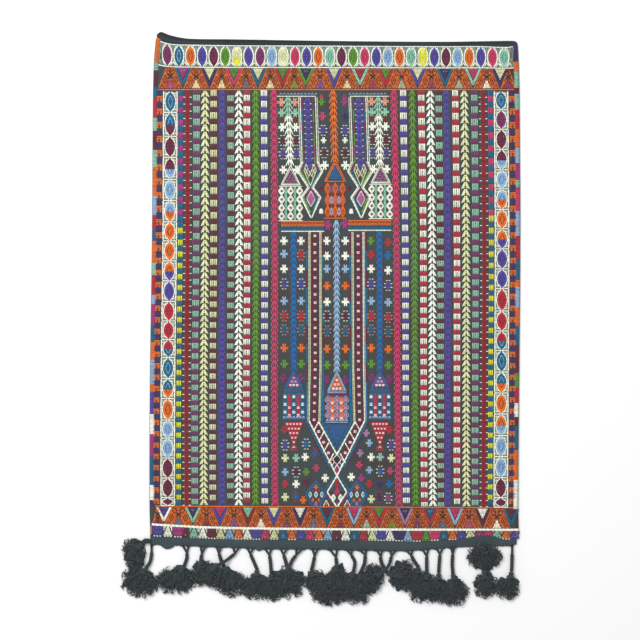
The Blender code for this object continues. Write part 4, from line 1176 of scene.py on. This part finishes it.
def tipMaps(length, sides, own):  # share of the way to the tip and the strand's own number
    u = np.repeat((length / length[:, -1:])[:, :, None], sides, 2)
    return np.stack([u, np.broadcast_to(own[:, None, None], u.shape)], 3).reshape(-1, 2)


def bindingMaterial():  # brown-black above, blue-black below
    material = woolMaterial("bindingWool", (40, 50, 54), 0.6, 0.3)
    tree = material.node_tree
    wool = next(node for node in tree.nodes if node.type == "GROUP")
    height = splitMap(tree, "thread")[1]
    setNode(tree, wool, Yarn=twoTone(tree, height, (0.44, (40, 56, 68)), (0.60, (44, 43, 36))))
    return material


# ---- top binding: two rounded strands ----

binding = {
    "top": [(-0.3230, 0.5735), (-0.3170, 0.5742), (-0.3045, 0.5690), (-0.2817, 0.5632), (-0.2587, 0.5602),
            (-0.1705, 0.5592), (0.0200, 0.5560), (0.2395, 0.5542), (0.3430, 0.5556), (0.3890, 0.5560),
            (0.3940, 0.5545)],
    "low": cloth["topEdge"], "left": -0.3268, "right": 0.3940, "height": 0.0042, "steps": 170, "around": 18,
    "groove": 0.16,
}


def buildBinding():
    xs = np.linspace(binding["left"], binding["right"], binding["steps"])
    low, top = along(binding["low"], xs), along(binding["top"], xs)
    places, maps, faces, around = [], [], [], binding["around"]
    for n, x in enumerate(xs):
        ends = min(1, math.sqrt(max(0.0, min(n, len(xs) - 1 - n)) / 1.6 + 0.12))
        middle, half = (low[n] + top[n]) / 2, (top[n] - low[n]) / 2 * ends
        tall = binding["height"] * (0.35 + 0.65 * ends) * (1 + 0.05 * math.sin(x * 90))
        for turn in np.linspace(0, 2 * math.pi, around, endpoint=False):
            u, v = math.cos(turn), math.sin(turn)
            dip = binding["groove"] * math.exp(-(v / binding["groove"]) ** 2) if u > 0 else 0
            places.append((x, middle + half * v * (1 - 0.08 * abs(u)), tall * (0.5 + 0.5 * u - dip)))
            maps.append((x * 1000, v * 0.5 + 0.5))
    for n in range(len(xs) - 1):
        for k in range(around):
            a, b = n * around + k, n * around + (k + 1) % around
            faces.append((a, b, b + around, a + around))
    faces += [tuple(range(around))[::-1], tuple(range((len(xs) - 1) * around, len(xs) * around))]
    piece = meshPiece("binding_roll", places, faces, bindingMaterial(), "thread", maps)
    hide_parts("top_binding")
    return piece


bindingRoll = buildBinding()


# ---- fringe heading and its cords ----

lifted = 0.0064
cords = {  # cord: where its legs leave the band, the points it runs through and its end's shift
    "01": ((-0.3385,), [(-0.3440, -0.4435, 0), (-0.3510, -0.4440, 0)], 0),
    "02": ((-0.3371,), [(-0.3372, -0.4700, 0), (-0.3400, -0.4850, 0)], 0),
    "03": ((-0.2755, -0.2625), [(-0.2665, -0.4670, 0), (-0.2670, -0.4790, 0)], 0),
    "04": ((-0.2395, -0.2285), [(-0.2365, -0.4685, 0), (-0.2380, -0.4770, 0)], 0),
    "05": ((-0.2080, -0.1970), [(-0.2030, -0.4670, 0), (-0.1980, -0.4830, 0)], 0),
    "06": ((-0.1745, -0.1617), [(-0.1705, -0.4690, 0), (-0.1810, -0.4770, 0), (-0.1895, -0.4830, lifted),
           (-0.2010, -0.4895, lifted)], 0),
    "07": ((-0.1465, -0.1335), [(-0.1400, -0.4690, 0), (-0.1320, -0.4870, 0)], 0),
    "08": ((-0.1115, -0.0975), [(-0.1017, -0.4715, 0), (-0.0995, -0.4880, 0)], 0),
    "09": ((-0.0800, -0.0660), [(-0.0737, -0.4705, 0), (-0.0700, -0.4820, 0)], -0.0036),
    "09b": ((-0.0480, -0.0340), [(-0.0480, -0.4715, 0), (-0.0560, -0.4820, 0)], 0.0036),
    "10": ((-0.0158, -0.0045), [(-0.0115, -0.4735, 0), (-0.0135, -0.4850, 0)], 0),
    "11": ((0.0180, 0.0340), [(0.0310, -0.4755, 0), (0.0318, -0.4820, 0)], 0),
    "12": ((0.0520, 0.0640), [(0.0615, -0.4710, 0), (0.0690, -0.4860, 0)], 0),
    "13": ((0.0770, 0.0920), [(0.0900, -0.4710, 0), (0.0875, -0.4900, 0)], 0),
    "15": ((0.1120, 0.1240), [(0.1205, -0.4735, 0), (0.1215, -0.4850, 0)], 0),
    "14": ((0.1385, 0.1510), [(0.1425, -0.4730, 0), (0.1400, -0.4830, 0), (0.1365, -0.4915, lifted),
           (0.1295, -0.5010, lifted)], 0),
    "16": ((0.1715, 0.1840), [(0.1815, -0.4720, 0), (0.1885, -0.4850, 0)], 0),
    "17": ((0.2035, 0.2160), [(0.2125, -0.4735, 0), (0.2125, -0.4920, 0)], 0),
    "18": ((0.2315, 0.2450), [(0.2390, -0.4700, 0), (0.2375, -0.4900, 0)], 0),
    "19": ((0.2605, 0.2690), [(0.2645, -0.4690, 0), (0.2635, -0.4900, 0)], 0),
    "20": ((0.3205, 0.3335), [(0.3275, -0.4715, 0), (0.3275, -0.4850, 0)], 0),
    "21": ((0.3835,), [(0.3832, -0.4740, 0), (0.3826, -0.4940, 0)], 0),
}

heading = {
    "low": [(-0.3405, -0.4520), (-0.3210, -0.4518), (-0.2855, -0.4530), (-0.2160, -0.4560),
            (-0.1530, -0.4580), (-0.1180, -0.4600), (-0.0270, -0.4605), (0.0440, -0.4620),
            (0.1650, -0.4640), (0.2240, -0.4605), (0.2760, -0.4565), (0.3400, -0.4545),
            (0.3800, -0.4535), (0.3930, -0.4500)],
    "left": -0.3400, "right": 0.3925, "height": 0.0028, "columns": 360, "rows": 7, "overlap": 0.0008,
    "tuft": 0.0006, "rib": 0.0002, "stubs": [(-0.3055, 0.0075, 0.0150), (-0.1225, 0.0040, 0.0070)],
    "rootDrop": 0.0016, "rootHalf": 0.0055,
}


def headingLow(x):
    low = along(heading["low"], x)
    roots = [(root, heading["rootDrop"], heading["rootHalf"]) for rows in cords.values() for root in rows[0]]
    for at, drop, half in heading["stubs"] + roots:
        low = low - drop * np.clip(1 - (np.abs(x - at) / half) ** 2, 0, 1)
    return low


def buildHeading():
    columns, rows, lines = heading["columns"], heading["rows"], []
    xs = np.linspace(heading["left"], heading["right"], columns + 1)
    high, low = along(cloth["lowEdge"], xs) + heading["overlap"], headingLow(xs)
    for row in range(rows + 1):
        share, tuft = row / rows, heading["tuft"]
        tufts = np.array([dice.uniform(-tuft, tuft) for column in range(columns + 1)])
        y = high + (low - high) * share + tufts * (row == rows)  # only the last row is tufted
        z = heading["height"] * (0.82 + 0.18 * np.sin(share * math.pi))
        z = z + heading["rib"] * np.sin(xs * 2200 + share * 3)
        lines.append(np.stack([xs, y, z], 1))
    top = np.concatenate(lines)
    material = groundMaterial("headingWeave", (70, 82, 86), (60, 70, 74))
    piece = meshPiece("heading_band", np.vstack([top, top * (1, 1, 0)]), slabFaces(rows, columns), material)
    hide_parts("fringe_heading")
    return piece


headingBand = buildHeading()

tassels = {  # tassel: back of its head, way it points, head; middle, half sizes and turn of its mop
    "01": (-0.3560, -0.4500, 225, 0.012, -0.3720, -0.4700, 0.023, 0.031, 16),
    "02": (-0.3490, -0.4985, 240, 0.012, -0.3615, -0.5260, 0.038, 0.029, -12),
    "03": (-0.2730, -0.4955, 245, 0.012, -0.2870, -0.5230, 0.040, 0.027, 4),
    "04": (-0.2390, -0.4860, 266, 0.012, -0.2330, -0.5090, 0.026, 0.026, 0),
    "05": (-0.1915, -0.4960, 300, 0.012, -0.1800, -0.5265, 0.033, 0.027, -20),
    "06": (-0.2080, -0.4935, 226, 0.012, -0.2130, -0.5150, 0.017, 0.023, 0),
    "07": (-0.1262, -0.5010, 266, 0.013, -0.1300, -0.5355, 0.030, 0.024, 0),
    "08": (-0.0980, -0.5100, 266, 0.012, -0.0965, -0.5385, 0.026, 0.025, 0),
    "09": (-0.0640, -0.4920, 270, 0.019, -0.0640, -0.5275, 0.037, 0.028, 0),
    "10": (-0.0175, -0.5020, 290, 0.013, 0.0050, -0.5400, 0.025, 0.040, 36),
    "11": (0.0325, -0.4900, 266, 0.016, 0.0335, -0.5300, 0.022, 0.040, 0),
    "12": (0.0660, -0.5060, 265, 0.011, 0.0640, -0.5370, 0.024, 0.031, 0),
    "13": (0.0785, -0.5100, 270, 0.011, 0.0840, -0.5380, 0.018, 0.029, 0),
    "14": (0.1225, -0.5060, 216, 0.012, 0.1035, -0.5180, 0.021, 0.029, -10),
    "15": (0.1330, -0.5065, 334, 0.013, 0.1680, -0.5140, 0.030, 0.030, 10),
    "16": (0.1965, -0.4960, 262, 0.012, 0.1980, -0.5330, 0.028, 0.031, 0),
    "17": (0.2130, -0.5100, 268, 0.011, 0.2170, -0.5400, 0.020, 0.026, 0),
    "18": (0.2365, -0.5080, 270, 0.012, 0.2380, -0.5450, 0.027, 0.023, 0),
    "19": (0.2650, -0.5090, 277, 0.013, 0.2690, -0.5455, 0.027, 0.026, 0),
    "20": (0.3275, -0.5010, 270, 0.019, 0.3300, -0.5320, 0.023, 0.025, 0),
    "21": (0.3820, -0.5050, 262, 0.013, 0.3740, -0.5380, 0.024, 0.023, 0),
}
cordShape = {"radius": 0.0025, "thick": 0.0040, "twist": 0.0016, "pitch": 0.0110, "steps": 36,
             "height": 0.0036, "join": 0.0040, "headGap": 0.0003, "rootIn": 0.004, "floor": -0.0003}


def reachAlong(line):  # how far each point of a line is from its start
    return np.concatenate([[0], np.cumsum(np.linalg.norm(np.diff(line, axis=0), axis=1))])


def curveThrough(points, count):  # evenly spaced places on a smooth line through the points
    points = np.array(points, float)
    padded = np.vstack([2 * points[0] - points[1], points, 2 * points[-1] - points[-2]])
    fine = []
    for a, b, c, d in zip(padded, padded[1:], padded[2:], padded[3:]):
        for t in np.linspace(0, 1, 12, endpoint=False):
            fine.append(0.5 * (2 * b + (c - a) * t + (2 * a - 5 * b + 4 * c - d) * t**2
                               + (3 * b - a - 3 * c + d) * t**3))
    fine = np.array(fine + [points[-1]])
    reach = reachAlong(fine)
    at = np.linspace(0, reach[-1], count)
    return np.stack([np.interp(at, reach, fine[:, k]) for k in range(3)], 1)


def buildCords():
    paths, sizes = [], []
    for name, (roots, route, shift) in cords.items():
        x, y, facing = tassels[name[:2]][:3]
        facing, single, gap = math.radians(facing), len(roots) == 1, cordShape["headGap"]
        end = (x + shift - math.cos(facing) * gap, y - math.sin(facing) * gap, route[-1][2] * 0.9)
        twisted = curveThrough([*route, end], cordShape["steps"])
        for leg in range(2):
            root = roots[leg % len(roots)]
            start = (root, -0.4440 if name == "01" else float(headingLow(root)) + cordShape["rootIn"], 0.0)
            straight = np.linspace(start, route[0], 4 if single else 8)[:-1]
            line = np.vstack([straight, twisted])
            way = np.gradient(line, axis=0)
            way /= np.linalg.norm(way, axis=1, keepdims=True)
            reach = reachAlong(line)
            reach -= reach[len(straight)]
            size = np.clip(reach / cordShape["join"] + single, 0, 1) * cordShape["twist"]
            turn = reach / cordShape["pitch"] * 2 * math.pi + leg * math.pi
            line = line + np.stack([-way[:, 1], way[:, 0], 0 * reach], 1) * (np.cos(turn) * size)[:, None]
            line[:, 2] += cordShape["height"] + np.sin(turn) * size * 0.6
            paths.append(curveThrough(line, cordShape["steps"] + 8))
            sizes.append([cordShape["thick" if name == "01" else "radius"]])
    places, faces, length = strandMesh(paths, np.array(sizes), 6)
    places[:, 2] = np.maximum(places[:, 2], cordShape["floor"])  # flat where it lies on the floor
    maps = threadMaps(length, 6, np.arange(len(paths)) * mapStep)
    material = woolMaterial("cordWool", (46, 54, 56), 0.8, 0.3)
    piece = meshPiece("heading_cords", places, faces, material, "thread", maps)
    return piece


headingCords = buildCords()


# ---- tassels: a bound head and some three hundred loose crinkled strands each ----

tassel = {"locks": 20, "inLock": 6, "curls": 150, "points": 7, "radius": 0.00112, "headRadius": 0.0056,
          "rise": 0.0086, "crinkle": 0.0015, "lockCurl": 0.0016, "clump": 0.0032, "size": 0.97,
          "coreSize": 0.88, "coreHeight": 0.0070, "coreFoot": 0.0006, "coreAround": 36, "coreRings": 8,
          "coreLean": 0.18, "headHeight": 0.0058, "bound": 0.72, "crossing": 0.0045, "fullMop": 0.00070}


def tasselMaterial():
    material, tree = newMaterial("tasselWool")
    calc = partial(calculate, tree)
    reach, seed = splitMap(tree, "strand")
    own, cloudy = whiteNoise(tree, seed), noise(tree, 180.0, 2.0)
    tips = calc("MULTIPLY", calc("POWER", reach, 4.0), own)
    mix = addNode(tree, "ShaderNodeMix", data_type="RGBA")
    tree.links.new(tips, mix.inputs[0])
    mix.inputs[6].default_value = (*toLinear((50, 62, 66)), 1)
    mix.inputs[7].default_value = (*toLinear((98, 84, 70)), 1)
    light = calc("MULTIPLY_ADD", cloudy, 0.5, calc("MULTIPLY_ADD", own, 0.5, 0.5))
    finishWool(tree, brightened(tree, mix.outputs[2], light), cloudy, 0.4, 0.0003, Roughness=0.9,
               Specular_IOR_Level=0.15, Sheen_Weight=0.2)
    return material


tasselWool = tasselMaterial()


def onMop(mop, angle, reach):  # places at an angle and a share of the way out, on the mop's turned oval
    x, y, wide, tall, turned = mop
    u, v = np.cos(angle) * reach * wide, np.sin(angle) * reach * tall
    cosine, sine = math.cos(math.radians(turned)), math.sin(math.radians(turned))
    return np.stack([x + u * cosine - v * sine, y + u * sine + v * cosine], 1)


def tasselPaths(start, way, mop, locks, rise, seed):  # strands in curly locks, tips spread over the mop
    rng = np.random.default_rng(seed)
    steps, inLock = tassel["points"], tassel["inLock"]
    count = locks * inLock
    angle = np.arange(locks) * 2.39996 + rng.uniform(-0.3, 0.3, locks)
    reach = np.sqrt((np.arange(locks) + 0.5) / locks) * rng.uniform(0.86, 1.12, locks) * tassel["size"]
    tips = onMop(mop, angle, reach)
    first = start + np.array([-way[1], way[0]]) * rng.uniform(-0.6, 0.6, (locks, 1)) * tassel["headRadius"]
    span = np.linalg.norm(tips - first, axis=1)[:, None]
    control = first + way * (0.0045 + 0.5 * span) * rng.uniform(0.6, 1.2, (locks, 1))
    control = control + (np.array(mop[:2]) - control) * 0.25 + rng.normal(0, 0.004, (locks, 2))
    t = np.linspace(0, 1, steps)[None, :, None]
    flat = (1 - t) ** 2 * first[:, None] + 2 * t * (1 - t) * control[:, None] + t**2 * tips[:, None]
    curl = np.sin(t * rng.uniform(8, 14, (locks, 1, 2)) + rng.uniform(0, 6.3, (locks, 1, 2)))
    flat = np.repeat(flat + curl * np.minimum(t * 3, 1) * tassel["lockCurl"], inLock, 0)
    spread = rng.normal(0, 1, (count, 1, 2)) * tassel["clump"]
    spread = spread * np.sin(math.pi * np.clip(t * 0.80 + 0.08, 0, 1))
    waves = np.sin(t * rng.uniform(12, 22, (count, 1, 2)) + rng.uniform(0, 6.3, (count, 1, 2)))
    flat = flat + spread + waves * tassel["crinkle"] * np.minimum(t * 4, 1)
    flat = flat + rng.normal(0, 0.0005, flat.shape)
    ends = 1 + rng.uniform(-0.12, 0.05, (count, 1, 1)) * t  # some strands poke out of their lock
    flat = flat[:, :1] + (flat - flat[:, :1]) * ends
    height = np.repeat(rise * rng.uniform(0.2, 1, (locks, 1)) * (1.2 - 0.5 * reach[:, None]), inLock, 0)
    share = np.linspace(0, 1, steps)[None]
    z = tassel["radius"] + 0.0003 + height * np.sin(math.pi * np.clip(share * 0.84 + 0.12, 0, 1))
    z = z + np.abs(rng.normal(0, 0.0009, z.shape)) * np.minimum(share * 3, 1)
    z[:, 0] = 0.0034 + rng.uniform(0, 0.0022, count)
    return np.concatenate([flat, z[:, :, None]], 2)


def tasselCurls(mop, count, seed):  # short matted curls all over the mop
    rng = np.random.default_rng(seed + 300)
    angle, reach = rng.uniform(0, 2 * math.pi, count), rng.uniform(0, 1, count) ** 0.42
    base = onMop(mop, angle, reach)
    facing = angle + math.radians(mop[4]) + rng.normal(0, 1.0, count)
    way = np.stack([np.cos(facing), np.sin(facing)], 1)[:, None]
    side = np.stack([-way[:, :, 1], way[:, :, 0]], 2)
    t = np.linspace(-0.5, 0.5, tassel["points"])[None, :, None]
    length = rng.uniform(0.005, 0.012, (count, 1, 1))
    bow = rng.normal(0, 0.35, (count, 1, 1)) * length * (0.25 - t**2) * 4
    wave = 0.0012 * np.sin(t * rng.uniform(8, 17, (count, 1, 1)) + rng.uniform(0, 6.3, (count, 1, 1)))
    flat = base[:, None] + way * t * length + side * (bow + wave)
    dome = tassel["coreHeight"] * np.sqrt(np.clip(1 - reach**2, 0, 1)) + rng.uniform(0.0012, 0.0034, count)
    z = np.maximum(dome[:, None] - 0.0016 * np.abs(t[:, :, 0] * 2) ** 2, 0.0011)
    return np.concatenate([flat, z[:, :, None]], 2)


def tasselCore(mop, start, seed):  # the thick of the mop under its loose strands
    rng = np.random.default_rng(seed)
    around, rings, high = tassel["coreAround"], tassel["coreRings"], tassel["coreHeight"]
    angle = np.arange(around) / around * 2 * math.pi
    ragged = 1 + 0.12 * np.sin(angle * 3 + rng.uniform(0, 6)) + 0.09 * np.sin(angle * 7 + rng.uniform(0, 6))
    ragged = (ragged + rng.uniform(-0.06, 0.06, around)) * tassel["coreSize"]
    lean, places, faces = (start - np.array(mop[:2])) * tassel["coreLean"], [], []
    for ring in range(rings):
        share = 1 - ring / rings
        spots = onMop(mop, angle, share * ragged) + lean
        z = tassel["coreFoot"] + high * (1 - share**2) ** 0.5 * rng.uniform(0.62, 1.18, around)
        spots += np.stack([rng.normal(0, 0.0007, around), rng.normal(0, 0.0007, around)], 1)
        places.append(np.column_stack([spots, z]))
    middle = [[*places[-1][:, :2].mean(0), high]]
    places = np.concatenate([*places, middle, places[0] * (1, 1, 0) + (0, 0, 0.0002)])
    for ring in range(rings - 1):
        for k in range(around):
            a, b = ring * around + k, ring * around + (k + 1) % around
            faces.append((a, b, b + around, a + around))
    top = rings * around
    for k in range(around):
        after = (k + 1) % around
        faces.append((top - around + k, top - around + after, top))
        faces.append((k, top + 1 + k, top + 1 + after, after))
    return places, faces + [tuple(range(top + around, top, -1))]


def tasselHead(x, y, way, head, height):
    shares = np.array([0.0, 0.08, 0.3, 0.42, 0.5, 0.58, 0.75, 1.0])
    sizes = np.array([0.35, 0.8, 1.0, 0.84, 0.78, 0.84, 1.02, 1.05]) * tassel["headRadius"]
    line = np.array([x, y, height]) + np.outer(shares * head, (*way, 0))
    places, faces, lengths = strandMesh([line], sizes, 12)
    return places, faces, tipMaps(lengths, 12, np.zeros(1)) * 0.2


def buildTassel(name, numbers):
    x, y, facing, head, *mop = numbers
    number, facing = int(name), math.radians(facing)
    over = tassel["crossing"] if name in ("06", "14") else 0.0
    way = np.array([math.cos(facing), math.sin(facing)])
    full = 0.6 + 0.4 * mop[2] * mop[3] / tassel["fullMop"]  # a larger mop has more locks
    start = np.array([x, y]) + way * head * tassel["bound"]
    locks, curls = round(tassel["locks"] * full), round(tassel["curls"] * full)
    paths = np.concatenate([tasselPaths(start, way, mop, locks, tassel["rise"], number),
                            tasselCurls(mop, curls, number)])
    paths[:, :, 2] += over * np.linspace(1, 0.1, tassel["points"])
    cores = [tasselCore(mop, start, number + 20)]
    if name == "20":  # this one is also thrown up over the heading
        mop, start, bends = (0.3275, -0.4735, 0.034, 0.027, 0), np.array([x, y]), [-0.49, -0.466, -0.44]
        flipped = np.concatenate([tasselPaths(start, -way, mop, 24, 0.0060, 99), tasselCurls(mop, 220, 97)])
        flipped[:, :, 2] += np.interp(flipped[:, :, 1], bends, [0.0, 0.0040, 0.0048])
        paths = np.concatenate([paths, flipped])
        places, faces = tasselCore(mop, start, 98)
        places[:, 2] += np.interp(places[:, 1], bends, [0.0, 0.0034, 0.0038])
        cores.append((places, faces))
    rng = np.random.default_rng(number + 50)
    thin = np.interp(np.linspace(0, 1, tassel["points"]), [0, 0.7, 1], [1, 0.95, 0.45])
    radii = tassel["radius"] * rng.uniform(0.6, 1.3, (len(paths), 1)) * thin
    places, faces, lengths = strandMesh(paths, radii, 3)
    parts = [(places, faces, tipMaps(lengths, 3, rng.uniform(0, 900, len(paths)))),
             tasselHead(x, y, way, head, tassel["headHeight"] + over)]
    parts += [(spots, loops, np.full((len(spots), 2), 0.3)) for spots, loops in cores]
    allPlaces, allFaces, allMaps, shift = [], [], [], 0
    for spots, loops, maps in parts:
        allPlaces.append(spots)
        allFaces += [tuple(v + shift for v in loop) for loop in loops]
        allMaps.append(maps)
        shift += len(spots)
    piece = meshPiece("tassel_strands_" + name, np.vstack(allPlaces), allFaces, tasselWool, "strand",
                      np.vstack(allMaps))
    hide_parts("tassel_" + name)
    return piece


tasselPieces = [buildTassel(name, numbers) for name, numbers in tassels.items()]
print("tassels", sum(len(p.data.polygons) for p in tasselPieces))


# ---- stage, light and camera ----

floorMaterial, tree = newMaterial("paleFloor")
setNode(tree, tree.nodes["Principled BSDF"], Base_Color=(0.93, 0.93, 0.93, 1), Roughness=0.9)
bpy.ops.mesh.primitive_plane_add(size=30, location=(0, 0, -0.0006))
floor = bpy.context.object
floor.name = "floor"
floor.data.materials.append(floorMaterial)
lamp = bpy.data.lights.new("softLight", "AREA")
lamp.shape, lamp.size, lamp.size_y, lamp.energy = "RECTANGLE", 1.6, 1.6, 95
lampObject = bpy.data.objects.new("softLight", lamp)
bpy.context.scene.collection.objects.link(lampObject)
lampObject.location = (-1.4, 1.8, 3.0)
lampObject.rotation_euler = (-lampObject.location).to_track_quat("-Z", "Y").to_euler()

world = bpy.data.worlds.new("paleStudio")
world.use_nodes = True
setNode(world.node_tree, world.node_tree.nodes["Background"], Color=(1, 1, 1, 1), Strength=0.68)
bpy.context.scene.world = world

cameraData = bpy.data.cameras.new("above")
cameraData.lens = 112.5
camera = bpy.data.objects.new("above", cameraData)
bpy.context.scene.collection.objects.link(camera)
camera.location = (-0.0005, -0.002, 4.0)
bpy.context.scene.camera = camera
bpy.context.scene.view_settings.view_transform = "Standard"  # the wools keep their own colours
